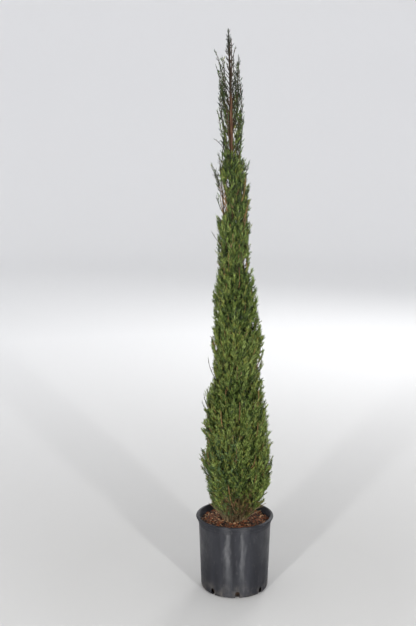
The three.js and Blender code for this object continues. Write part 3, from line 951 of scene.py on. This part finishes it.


# The tones of the foliage. A spray's tone goes by the light on it and by where it grows: from the darkest to
# the lightest they are one green in darker and lighter copies, painted shade and painted light.
TONES = {
    "shade": (0.009, 0.017, 0.004),
    "dusk": (0.019, 0.034, 0.006),
    "deep": (0.035, 0.059, 0.010),
    "green": (0.055, 0.089, 0.014),
    "leaf": (0.078, 0.119, 0.020),
    "moss": (0.106, 0.151, 0.027),
    "lit": (0.145, 0.190, 0.045),
    "gold": (0.145, 0.155, 0.027),
    "blue": (0.078, 0.130, 0.052),
    "dry": (0.130, 0.078, 0.034),
    # painted shade: a near-black brown for the sprays at the top of the tree
    "tip": (0.009, 0.010, 0.005),
}
DARK_TO_LIGHT = ("shade", "dusk", "deep", "green", "leaf", "moss", "lit")


def tone_for(rng, point, light):
    """A tone by how much light reaches the spray. Some turn bluer low on the left, and some yellower."""
    step = light + rng.normal(0, 0.19)
    if rng.uniform() < 0.26:
        step -= rng.uniform(0.25, 0.65)
    name = DARK_TO_LIGHT[int(clamp(step, 0, 0.999) * len(DARK_TO_LIGHT))]
    blue = 0.36 if point[2] > 0.36 else 0.60
    if name in ("green", "leaf", "moss") and point[0] < 0.01 and point[2] < 0.62 and rng.uniform() < blue:
        return "blue"
    if name in ("leaf", "moss", "lit") and rng.uniform() < 0.20:
        return "gold"
    return name


# ---- The crown ----

# How much of the outline is filled densely: height, then the share to the left (-X) and to the right (+X).
FILL = np.array([
    (0.262, 0.80, 0.50),
    (0.285, 1.02, 0.50),
    (0.310, 1.08, 0.60),
    (0.345, 0.97, 0.80),
    (0.400, 0.82, 0.82),
    (0.500, 0.82, 0.80),
    (0.600, 0.82, 0.84),
    (0.700, 0.86, 0.84),
    (0.760, 0.70, 0.82),
    (0.840, 0.66, 0.85),
    (0.940, 0.67, 0.82),
    (1.060, 0.64, 0.76),
    (1.200, 0.70, 0.84),
    (1.340, 0.66, 0.86),
    (1.375, 0.60, 0.86),
    (1.400, 0.40, 0.90),
    (1.450, 0.34, 0.96),
    (1.490, 0.42, 0.90),
    (1.514, 0.64, 0.80),
    (1.541, 0.54, 0.68),
    (1.570, 0.42, 0.66),
    (1.600, 0.42, 0.60),
])

# Slender twigs that make the open top and stand out of the crown: foot height, angle about the trunk in
# degrees, tip height, the tip's distance from the trunk, length of its shoots, bare share and outward curl
# in degrees.
WHIPS = (
    (1.800, 178, 1.945, 0.048, 0.020, 0.12, 24),
    (1.725, 184, 1.895, 0.047, 0.017, 0.12, 18),
    (1.640, 172, 1.830, 0.037, 0.022, 0.08, 4),
    (1.690, 188, 1.870, 0.026, 0.022, 0.08, 0),
    (1.580, 187, 1.745, 0.046, 0.020, 0.10, 10),
    (1.570, 183, 1.648, 0.058, 0.010, 0.30, 62),
    (1.905, 2, 1.958, 0.022, 0.012, 0.30, 10),
    (1.850, 345, 1.925, 0.014, 0.018, 0.15, 0),
    (1.660, 3, 1.928, 0.031, 0.020, 0.08, 0),
    (1.610, 354, 1.765, 0.041, 0.022, 0.10, 4),
    (1.600, 350, 1.800, 0.020, 0.022, 0.10, 0),
    (1.560, 8, 1.716, 0.044, 0.018, 0.15, 8),
    (1.395, 176, 1.562, 0.070, 0.020, 0.48, 20),
    (1.410, 183, 1.545, 0.058, 0.020, 0.48, 14),
    (1.425, 165, 1.598, 0.047, 0.020, 0.40, 8),
    (1.430, 188, 1.575, 0.036, 0.020, 0.35, 4),
    (1.380, 190, 1.530, 0.062, 0.020, 0.48, 18),
    (1.340, 180, 1.450, 0.052, 0.018, 0.45, 10),
    (1.400, 4, 1.573, 0.062, 0.018, 0.40, 16),
    (1.230, 182, 1.327, 0.070, 0.007, 0.45, 22),
    (0.690, 181, 0.872, 0.092, 0.008, 0.34, 0),
    (0.540, 180, 0.735, 0.110, 0.014, 0.34, 4),
    (0.550, 186, 0.712, 0.117, 0.012, 0.34, 10),
    (1.740, 4, 1.905, 0.025, 0.020, 0.08, 0),
    (1.700, 348, 1.880, 0.017, 0.020, 0.08, 0),
    (1.770, 12, 1.915, 0.034, 0.018, 0.10, 6),
    (1.750, 176, 1.905, 0.033, 0.022, 0.08, 0),
    (1.710, 190, 1.875, 0.018, 0.020, 0.08, 0),
    (1.765, 180, 1.925, 0.024, 0.022, 0.08, 6),
)

# Clefts that let the light through, front to back: middle (x, z), then half width and half height.
CLEFTS = (
    (0.030, 1.215, 0.007, 0.021),
    (0.047, 1.190, 0.003, 0.018),
    (0.090, 0.905, 0.004, 0.014),
    (0.060, 0.992, 0.005, 0.012),
    (0.081, 0.850, 0.006, 0.015),
    (0.100, 0.880, 0.003, 0.010),
    (-0.069, 0.915, 0.003, 0.012),
    (-0.063, 1.040, 0.003, 0.010),
    (0.046, 1.300, 0.003, 0.016),
    (-0.050, 1.470, 0.008, 0.036),
    (-0.030, 1.495, 0.005, 0.020),
    (-0.037, 1.430, 0.005, 0.024),
    (0.020, 1.465, 0.003, 0.009),
)

INNER_SHARE = 0.72  # of the reach, within which plumes are sparser and slimmer
BARE_WHIP = 0.35  # share of a whip, above which its lower half is pale
DARK_TOP = 1.82  # height of a tip, above which its whip is dealt the tones of less light, which is painted shade

# First and last radius of each kind of limb.
RADII = {
    "twig": (0.0013, 0.0008),
    "plume": (0.0008, 0.0005),
    "whip": (0.0014, 0.0008),
    "whip_foot": (0.0018, 0.0012),
    "whip_end": (0.0012, 0.0007),
    "leader": (0.0013, 0.0009),
    "pale_twig": (0.0021, 0.0009),
    "foot_stem": (0.0017, 0.0009),
}
LINK_WIDTH = 0.0020
LINK_REACH = 0.018  # from a plume's root to the nearest limb, past which a twig is grown
MOST_TWIGS = 60  # in a mass
ROOT_SHARE = 0.80  # of the reach, the furthest out that a plume's root lies

# By height: light on the plumes, their lean in degrees, their length and the spacing of their tips.
LIGHT = ((0.70, 0.80, 1.10, 1.20, 1.36, 1.46, 1.52), (0, 0.06, 0.06, 0, 0.04, 0.04, -0.05))
PLUME_LEANS = ((0.3, 0.7, 1.1, 1.6), (44, 34, 26, 18))
PLUME_LENGTHS = ((0.3, 0.6, 1.55), (0.75, 1, 0.85))
SPACINGS = ((1.20, 1.34, 1.40, 1.54, 1.60), (1, 0.88, 1.04, 1.0, 0.84))

# The whips that aren't named one by one, the shoots of the leader, and the twigs without sprays.
TOP_WHIPS = {
    "count": 46,
    "feet": (1.450, 1.750),
    "heights": (0.08, 0.14),
    "reach": (0.45, 0.88),
    "shoots": (0.018, 0.026),
    "bare": 0.10,
}
LEADER = {
    "pairs": 20,
    "below_tip": (0.240, 0.078),  # the first and the last pair
    "shoots": (0.036, 0.022),
    "crown_shoots": 80,
    "crown_below_tip": (0.092, 0.005),
}
CROWN_SHOOTS = ((0, 0.3, 0.60, 0.72, 1), (0.014, 0.020, 0.017, 0.010, 0.008))  # share of the way up, length
PALE_TWIGS = {"count": 110, "feet": (0.34, 1.46), "heights": (0.035, 0.080), "past": (1.06, 1.14)}
FOOT_STEMS = {
    "count": 170,
    "ring": (0.012, 0.048),
    "heights": (0.045, 0.125),
    "leans": (8, 52),
    "bends": (0, 24),
}


def scattered(candidates, spacing):
    """The candidates, taken in order, that keep their spacing from those already taken."""
    size = float(spacing.max())
    cells = {}
    kept = []
    for index, (point, gap) in enumerate(zip(candidates.tolist(), spacing.tolist())):
        x, y, z = (int(math.floor(value / size)) for value in point)
        near = False
        for i in (x - 1, x, x + 1):
            for j in (y - 1, y, y + 1):
                for k in (z - 1, z, z + 1):
                    for other in cells.get((i, j, k), ()):
                        if math.dist(point, other) < gap:
                            near = True
                            break
        if not near:
            cells.setdefault((x, y, z), []).append(point)
            kept.append(index)
    return np.array(kept)


def plume_tips(rng, spacing, top):
    """Tips spread evenly through the crown's outer shell and more thinly inside it, with their shares."""
    count = 60000  # of candidates
    z = rng.uniform(CROWN_FOOT + 0.018, top, count)
    angle = rng.uniform(0, 2 * math.pi, count)
    share = rng.uniform(0.28 ** 2, 1, count) ** 0.5
    keep = rng.uniform(0, 0.145, count) ** 2 < reach(z, angle) ** 2
    z, angle, share = z[keep], angle[keep], share[keep]
    outer = share > INNER_SHARE
    long_ones = (rng.uniform(0, 1, len(z)) < 0.22) & (z < 1.385)
    fill = between_sides(FILL, z, angle)
    fill *= 1 - 0.35 * np.clip(-np.sin(angle), 0, 1) * np.interp(z, (0.30, 0.35), (1, 0))
    away = share * np.where(outer & long_ones, 0.97, fill) * reach(z, angle)
    points = trunk_point(z) + np.column_stack([away * np.cos(angle), away * np.sin(angle), 0 * z])
    gap = spacing * np.interp(z, *SPACINGS)
    kept = scattered(points, np.where(outer, gap, 1.5 * gap))
    return points[kept], share[kept]


def in_cleft(root, tip):
    """Whether a shoot passes through a cleft."""
    for x, z, half_width, half_height in CLEFTS:
        if abs(tip[2] - z) > half_height + 0.03:
            continue
        for t in (0.2, 0.47, 0.73, 1.0):
            across, up = lerp(root[0], tip[0], t) - x, lerp(root[2], tip[2], t) - z
            if (across / half_width) ** 2 + (up / half_height) ** 2 < 1:
                return True
    return False


def plume_light(tip, share, patch):
    """The light on a plume, by height too: most near the outline, at the sides and low on the left."""
    light = 1.02 * share - 0.19 + 0.08 * patch
    light += 0.25 * clamp(25 * abs(tip[0]) - 0.75) + 0.03 * clamp(-25 * tip[0])
    if tip[2] < 0.36 and tip[0] < -0.01:
        light += 0.19
    return light + float(np.interp(tip[2], *LIGHT))


def wear_and_shade(tip):
    """How far the crown is worn here, from 0 to 1, most at the front of its foot: thinned and browned there,
    and dealt darker tones as painted shade.
    """
    if tip[1] >= 0.02:
        return 0
    return clamp((0.43 - tip[2]) / 0.07) * clamp((0.075 - abs(tip[0] - 0.012)) / 0.03)


class Crown:
    """Grows the twigs and sprays of every mass from its stem."""

    def __init__(self, settings):
        self.rng = np.random.default_rng(settings.seed)
        self.settings = settings
        self.shapes, self.kinds = [], {}
        for kind, (number, thickness, *shoots) in SPRAY_KINDS.items():
            first, cord = len(self.shapes), thickness * settings.cord
            self.shapes += [spray_shape(self.rng, cord, *shoots) for _ in range(number)]
            self.kinds[kind] = (first, len(self.shapes))
        self.bins = {tone: SprayBin(self.shapes) for tone in TONES}
        self.paths, self.radii, self.links = [], [], []
        self.pale_paths, self.pale_radii = [], []
        self.tips, self.shares = plume_tips(self.rng, settings.spacing, settings.open_from + 0.04)
        squares = (((self.tips * SQUEEZE)[:, None] - SQUEEZED[None]) ** 2).sum(axis=2)
        self.owners = squares.argmin(axis=1)

    def limb(self, path, radii):
        self.paths.append(path)
        self.radii.append(np.linspace(*radii, len(path)))

    def pale_limb(self, path, radii):
        self.pale_paths.append(path)
        self.pale_radii.append(np.linspace(*radii, len(path)))

    def spray(self, root, along, length, light, kind, dry=0.0):
        """Places a spray of this kind in the tone for its light, unless a cleft takes the place."""
        rng = self.rng
        tip = root + along * length
        if in_cleft(root, tip):
            return
        tone = "dry" if rng.uniform() < dry else tone_for(rng, tip, light)
        shape = int(rng.integers(*self.kinds[kind]))
        self.bins[tone].add(shape, root, along, length, rng.uniform(*ROLLS), rng.uniform(0, 0.16))

    def mass(self, k):
        """Grows a mass: fine twigs to within a short link of every plume, then the plumes."""
        rng = self.rng
        stem = bezier(stem_points(k), np.linspace(0, 1, 24))
        self.limb(stem, STEM["radii"])
        mine = self.owners == k
        tips, shares = self.tips[mine], self.shares[mine]
        if not len(tips):
            return
        _, angle = away_from_trunk(tips)
        lean = np.interp(tips[:, 2], PLUME_LEANS[0], np.radians(PLUME_LEANS[1]))
        lean = lean * (0.3 + 0.7 * shares) + rng.normal(0, 0.18, len(tips))
        turn = angle + np.clip(rng.normal(0, 0.55, len(tips)), -0.95, 0.95)
        along = np.column_stack([np.sin(lean) * np.cos(turn), np.sin(lean) * np.sin(turn), np.cos(lean)])
        length = self.settings.plume * np.interp(tips[:, 2], *PLUME_LENGTHS)
        length = length * rng.uniform(0.75, 1.2, len(tips)) * (0.75 + 0.25 * shares)
        length = np.minimum(length, (tips[:, 2] - CROWN_FOOT - 0.006) / np.cos(lean))
        roots = tips - along * length[:, None]
        axis = trunk_point(roots[:, 2])
        roots = lerp(axis, roots, np.minimum(1, ROOT_SHARE / share_of_reach(roots))[:, None])
        length = np.linalg.norm(tips - roots, axis=1)
        along = unit(tips - roots)
        limbs = stem
        headings = np.gradient(stem, axis=0)
        gap = np.linalg.norm(roots[:, None] - limbs[None], axis=2).min(axis=1)
        ends = set()
        while gap.max() > LINK_REACH and len(ends) < MOST_TWIGS:
            i = int(gap.argmax())
            path = self.twig(limbs, headings, roots[i], along[i])
            ends.add(i)
            limbs = np.vstack([limbs, path])
            headings = np.vstack([headings, np.gradient(path, axis=0)])
            gap = np.minimum(gap, np.linalg.norm(roots[:, None] - path[None], axis=2).min(axis=1))
            gap[i] = 0
        for i in range(len(tips)):
            self.plume(roots[i], tips[i], along[i], shares[i])
            if i not in ends:
                away = np.linalg.norm(limbs - roots[i], axis=1)
                away += 0.5 * np.maximum(0, limbs[:, 2] - roots[i, 2])
                self.links.append((limbs[away.argmin()], roots[i] + 0.06 * length[i] * along[i]))

    def twig(self, limbs, headings, end, along):
        """A fine twig from the best place on the limbs so far, bending into its end's direction."""
        offset = end - limbs
        level = np.hypot(offset[:, 0], offset[:, 1])
        cost = np.linalg.norm(offset, axis=1) + 3 * np.maximum(0, 0.7 * level - offset[:, 2])
        j = int(cost.argmin())
        span = np.linalg.norm(offset[j])
        out = unit(unit(headings[j]) + unit(offset[j]))
        curve = (limbs[j], limbs[j] + 0.35 * span * out, end - 0.35 * span * along, end)
        path = bezier(curve, np.linspace(0, 1, 7))
        self.limb(path, RADII["twig"])
        return path

    def plume(self, root, tip, along, share):
        """A branchlet that curves up to its tip, with sprays all round it, dealt lighter tones towards the
        tip as painted light.
        """
        rng = self.rng
        length = np.linalg.norm(tip - root)
        if length < 0.012:
            return
        bend = lerp(root, tip, 0.5)
        bend[:2] += 0.10 * (tip - root)[:2]
        bend[2] -= 0.05 * length
        curve = (root, bend, tip)
        self.limb(bezier(curve, np.linspace(0, 1, 5)), RADII["plume"])
        patch = math.sin(43 * tip[0] + 2) + math.sin(39 * tip[1]) + math.sin(21 * tip[2] + 1)
        dry = 0.012
        light = plume_light(tip, share, patch) + rng.normal(0, 0.07)
        worn = wear_and_shade(tip)
        if worn > 0:
            if rng.uniform() < (0.62 if tip[2] < 0.34 else 0.35) * worn:
                return
            dry = 0.58 * worn
            # painted shade: darker tones where the foot of the crown is worn
            light -= 0.08 * worn
        elif share < 0.9 and patch > 1.8:
            dry = 0.12
        inner = share < INNER_SHARE
        count = max(3, int(length / (self.settings.step * (1.35 if inner else 1))))
        t = lerp(0.10, 0.94, (np.arange(count) + rng.uniform(0, 0.6, count)) / count)
        turns = rng.uniform(*ROLLS) + np.arange(count) * GOLDEN_ANGLE
        size = self.settings.spray_length * lerp(1.1, 0.7, t) * rng.uniform(0.5, 1.35, count)
        size = np.minimum(size, 0.7 * length)
        opening = rng.uniform(0.32, 1.0, count) * lerp(1, 0.65, t)
        kind = "slim" if inner else "full"
        self.sprays_along(curve, t, turns, opening, size, light - 0.30 * (1 - t), kind, dry)
        end = self.settings.spray_length
        self.spray(tip - 0.5 * end * along, along, end, light + 0.08, "slim", dry)

    def sprays_along(self, curve, t, turns, opening, sizes, light, kind, dry=0.0):
        """Sprays that leave a curve at these shares of it, turned about it and opened away from it."""
        here = bezier(curve, t)
        heading = unit(bezier(curve, t + 0.03) - here)
        side = np.column_stack([np.cos(turns), np.sin(turns), 0 * turns])
        along = heading * np.cos(opening)[:, None] + side * np.sin(opening)[:, None] + np.array([0, 0, 0.08])
        for row in zip(here, unit(along), sizes, light):
            self.spray(*row, kind, dry)

    def whip(self, foot, angle, top, away, shoot, bare, curl):
        """A slender twig that leaves the trunk, turns up beside it and carries short shoots in pairs."""
        rng = self.rng
        root = trunk_point(foot)
        tip = trunk_point(top) + away * leaning(angle, math.pi / 2)
        height = top - foot
        bend = root + 0.42 * height * leaning(angle, math.radians(34))
        hold = tip - 0.35 * height * leaning(angle, math.radians(3 + curl))
        curve = (root, bend, hold, tip)
        path = bezier(curve, np.linspace(0, 1, 12))
        if bare > BARE_WHIP:
            self.pale_limb(path[:7], RADII["whip_foot"])
            self.limb(path[6:], RADII["whip_end"])
        else:
            self.limb(path, RADII["whip"])
        pairs = int((1 - bare) * height / (0.0070 if bare > BARE_WHIP else 0.0090))
        # painted shade: less light, so darker tones, for whips that reach the top
        light = (0.46 if top < DARK_TOP else 0.26) + rng.normal(0, 0.08)
        t = np.repeat(lerp(bare, 0.97, (np.arange(pairs) + rng.uniform(0, 0.5, pairs)) / pairs), 2)
        turns = np.repeat(np.arange(pairs) * GOLDEN_ANGLE, 2) + np.tile([0, math.pi], pairs)
        turns += rng.uniform(*ROLLS) + rng.normal(0, 0.3, 2 * pairs)
        size = shoot * lerp(1.15, 0.75, t) * rng.uniform(0.5, 1.3, 2 * pairs)
        opening = rng.uniform(0.42, 0.72, 2 * pairs)
        self.sprays_along(curve, t, turns, opening, size, light + 0 * t, "cord")
        end, heading = min(shoot, 0.012), unit(tip - hold)
        self.spray(tip - 0.4 * end * heading, heading, end, light, "cord")

    def open_crown(self):
        """The open top: the named twigs, and others spaced round the trunk on the way up."""
        rng = self.rng
        for foot, degrees, top, away, shoot, bare, curl in WHIPS:
            self.whip(foot, math.radians(degrees), top, away, shoot, bare, curl)
        count = TOP_WHIPS["count"]
        for i in range(count):
            foot = lerp(*TOP_WHIPS["feet"], (i + rng.uniform(-0.4, 0.4)) / count)
            angle = i * GOLDEN_ANGLE + rng.normal(0, 0.2)
            angle += 0.45 * math.sin(2 * angle + math.pi)
            if foot > self.settings.open_from and math.sin(angle) < -0.82:
                angle = -angle  # keeps the red-brown stem in view
            top = foot + rng.uniform(*TOP_WHIPS["heights"])
            away = rng.uniform(*TOP_WHIPS["reach"]) * float(reach(top, angle))
            self.whip(foot, angle, top, away, rng.uniform(*TOP_WHIPS["shoots"]), TOP_WHIPS["bare"], 0)

    def leader(self):
        """Short shoots in pairs up the youngest wood, then a lumpy tip of close scale shoots, all in the
        darkest tones as painted shade.
        """
        rng = self.rng
        cords, full = SPRAY_KINDS["cord"][0], SPRAY_KINDS["full"][0]
        pairs = LEADER["pairs"]
        for i in range(pairs):
            t = i / (pairs - 1)
            turn = (i % 3 == 1) * math.pi / 2 + rng.normal(0, 0.3)
            for angle in (turn, turn + math.pi):
                root = trunk_point(TREE_TOP - lerp(*LEADER["below_tip"], t) + rng.uniform(0, 0.006))
                along = leaning(angle, math.radians(rng.uniform(28, 40)))
                length = lerp(*LEADER["shoots"], t) * rng.uniform(0.8, 1.2)
                path = np.array([root + share * length * along for share in (0, 0.5, 0.9)])
                self.limb(path, RADII["leader"])
                shoot = (root + 0.25 * length * along, along, 0.8 * length)
                shape = self.kinds["cord"][0] + i % cords
                # painted shade: the darkest tones for the leader's shoots
                self.bins["tip" if i % 3 else "dusk"].add(shape, *shoot, i, 0.08)
        count = LEADER["crown_shoots"]
        for i in range(count):
            t = i / (count - 1)
            root = trunk_point(TREE_TOP - lerp(*LEADER["crown_below_tip"], t))
            lump = 1 + 0.30 * math.sin(30 * t)
            length = lump * np.interp(t, *CROWN_SHOOTS)
            along = leaning(i * GOLDEN_ANGLE, math.radians(rng.uniform(24, 50)))
            length = min(length * rng.uniform(0.8, 1.2), (TREE_TOP + 0.002 - root[2]) / along[2])
            # painted shade: the darkest tones for the lumpy top
            tone = ("tip", "dusk", "tip")[i % 3]
            self.bins[tone].add(i % full, root, along, length, i, 0.08)

    def pale_twigs(self):
        """Orange-brown twigs that show upright between the sprays, and tan stems at the crown's foot."""
        rng = self.rng
        steps = np.linspace(0, 1, 7)
        count = PALE_TWIGS["count"]
        for i in range(count):
            z = lerp(*PALE_TWIGS["feet"], (i + rng.uniform(0, 1)) / count)
            angle = i * GOLDEN_ANGLE + rng.normal(0, 0.5)
            height = rng.uniform(*PALE_TWIGS["heights"])
            fill = float(between_sides(FILL, z, angle))
            curve = []
            for rise, share in zip((0, 0.25, 1), (0.80, 1.04, rng.uniform(*PALE_TWIGS["past"]))):
                at = z + rise * height
                away = share * fill * float(reach(at, angle))
                curve.append(trunk_point(at) + leaning(angle, math.pi / 2) * away)
            self.pale_limb(bezier(curve, steps), RADII["pale_twig"])
        for i in range(FOOT_STEMS["count"]):
            angle = i * GOLDEN_ANGLE
            foot = trunk_point(CROWN_FOOT) + rng.uniform(*FOOT_STEMS["ring"]) * leaning(angle, math.pi / 2)
            rise = rng.uniform(*FOOT_STEMS["heights"])
            lean = (angle + rng.normal(0, 0.5), math.radians(rng.uniform(*FOOT_STEMS["leans"])))
            tip = foot + rise * leaning(*lean)
            bend = foot + 0.4 * rise * leaning(angle, math.radians(rng.uniform(*FOOT_STEMS["bends"])))
            self.pale_limb(bezier((foot, bend, tip), steps), RADII["foot_stem"])


class CypressCrown(bpy.types.Operator):
    """Grows the stems, twigs and sprays of every mass"""

    bl_idname = "cypress.crown"
    bl_label = "Crown"

    def execute(self, context):
        crown = Crown(context.scene.cypress_crown)
        for k in range(len(MASS_NODES)):
            crown.mass(k)
        crown.open_crown()
        crown.leader()
        crown.pale_twigs()
        bark = twig_material()
        finish_piece(tubes("twigs", crown.paths, crown.radii, 4), bark)
        finish_piece(tubes("twigs_pale", crown.pale_paths, crown.pale_radii, 4), pale_twig_material())
        starts, ends = (np.array(side) for side in zip(*crown.links))
        count = len(starts)
        twiglets = blades(starts, ends, np.full(count, LINK_WIDTH), np.arange(count))
        finish_piece(object_from_arrays("twiglets", *twiglets), bark)
        nodes = MASS_NODES
        for tone, colour in TONES.items():
            piece = object_from_arrays("sprays_" + tone, *crown.bins[tone].arrays())
            finish_piece(piece, leaf_material("leaf_" + tone, colour), nodes)
            nodes = ()
        return {"FINISHED"}


# ---- Stage ----

CAMERA = {"place": (-0.0983, -4.1007, 1.8979), "pitch": math.radians(11.867), "lens": 67.86}
BOWL = {"floor": 7.0, "round": 2.5, "wall": 9.0}

# Soft boxes: turn about Z from the front in degrees, distance, height, width and height of the box, watts.
LAMPS = {
    "key": (-24, 4.6, 1.25, (0.24, 2.3), 175),
    "fill": (24, 4.6, 1.25, (0.15, 2.3), 170),
    "back": (160, 4.6, 3.2, (1.6, 1.6), 80),
}
AIMED_AT = 1.0  # height


class CypressStage(bpy.types.Operator):
    """Sets the floor, the lights and the camera"""

    bl_idname = "cypress.stage"
    bl_label = "Stage"

    def execute(self, context):
        profile = [(0, 0.0), (1.5, 0.0), (BOWL["floor"], 0.0)]
        profile += arc(BOWL["floor"], BOWL["round"], BOWL["round"], -80, 0, 14)
        profile += [(BOWL["floor"] + BOWL["round"], BOWL["wall"])]
        floor = lathe("studio_floor", profile, 96)
        smooth(floor, 60)
        floor.data.materials.append(paint_material())
        world = bpy.data.worlds.new("studio_air")
        context.scene.world = world
        context.scene.view_settings.view_transform = "Standard"
        world.use_nodes = True
        sky = world.node_tree.nodes["Background"].inputs
        sky["Color"].default_value = (0.97, 0.98, 1.0, 1)
        sky["Strength"].default_value = 0.78
        for name, values in LAMPS.items():
            self.lamp(name, *values)
        camera = add_object("camera", bpy.data.cameras.new("camera"))
        camera.data.lens = CAMERA["lens"]
        camera.location = CAMERA["place"]
        camera.rotation_euler = (math.pi / 2 - CAMERA["pitch"], 0, 0)
        context.scene.camera = camera
        return {"FINISHED"}

    def lamp(self, name, degrees, distance, height, size, energy):
        """A soft box that faces the plant, turned about Z from the front."""
        turn = math.radians(degrees)
        data = bpy.data.lights.new(name, "AREA")
        data.shape = "RECTANGLE"
        data.size, data.size_y = size
        data.energy = energy
        lamp = add_object(name, data)
        lamp.location = (distance * math.sin(turn), -distance * math.cos(turn), height)
        lamp.rotation_euler = (math.pi / 2 - math.atan2(height - AIMED_AT, distance), 0, turn)
        lamp.visible_camera = False


class CypressPanel(bpy.types.Panel):
    """Lists the cypress's pieces and their settings"""

    bl_idname = "VIEW3D_PT_cypress"
    bl_label = "Cypress"
    bl_space_type = "VIEW_3D"
    bl_region_type = "UI"
    bl_category = "Cypress"

    def draw(self, context):
        for group in (context.scene.cypress_pot, context.scene.cypress_mulch, context.scene.cypress_crown):
            box = self.layout.box()
            for name in group.__annotations__:
                box.prop(group, name)
        for operator in OPERATORS:
            self.layout.operator(operator.bl_idname)


SETTINGS = {
    "cypress_pot": CypressPotSettings,
    "cypress_mulch": CypressMulchSettings,
    "cypress_crown": CypressCrownSettings,
}
OPERATORS = (CypressPot, CypressMulch, CypressTrunk, CypressBoughs, CypressCrown, CypressStage)


def register():
    for item in (*SETTINGS.values(), *OPERATORS, CypressPanel):
        bpy.utils.register_class(item)
    for name, group in SETTINGS.items():
        setattr(bpy.types.Scene, name, bpy.props.PointerProperty(type=group))


def unregister():
    for name in SETTINGS:
        delattr(bpy.types.Scene, name)
    for item in reversed((*SETTINGS.values(), *OPERATORS, CypressPanel)):
        bpy.utils.unregister_class(item)


def main():
    register()
    bpy.ops.cypress.pot()
    bpy.ops.cypress.mulch()
    bpy.ops.cypress.trunk()
    bpy.ops.cypress.boughs()
    bpy.ops.cypress.crown()
    bpy.ops.cypress.stage()


if __name__ == "__main__":
    main()
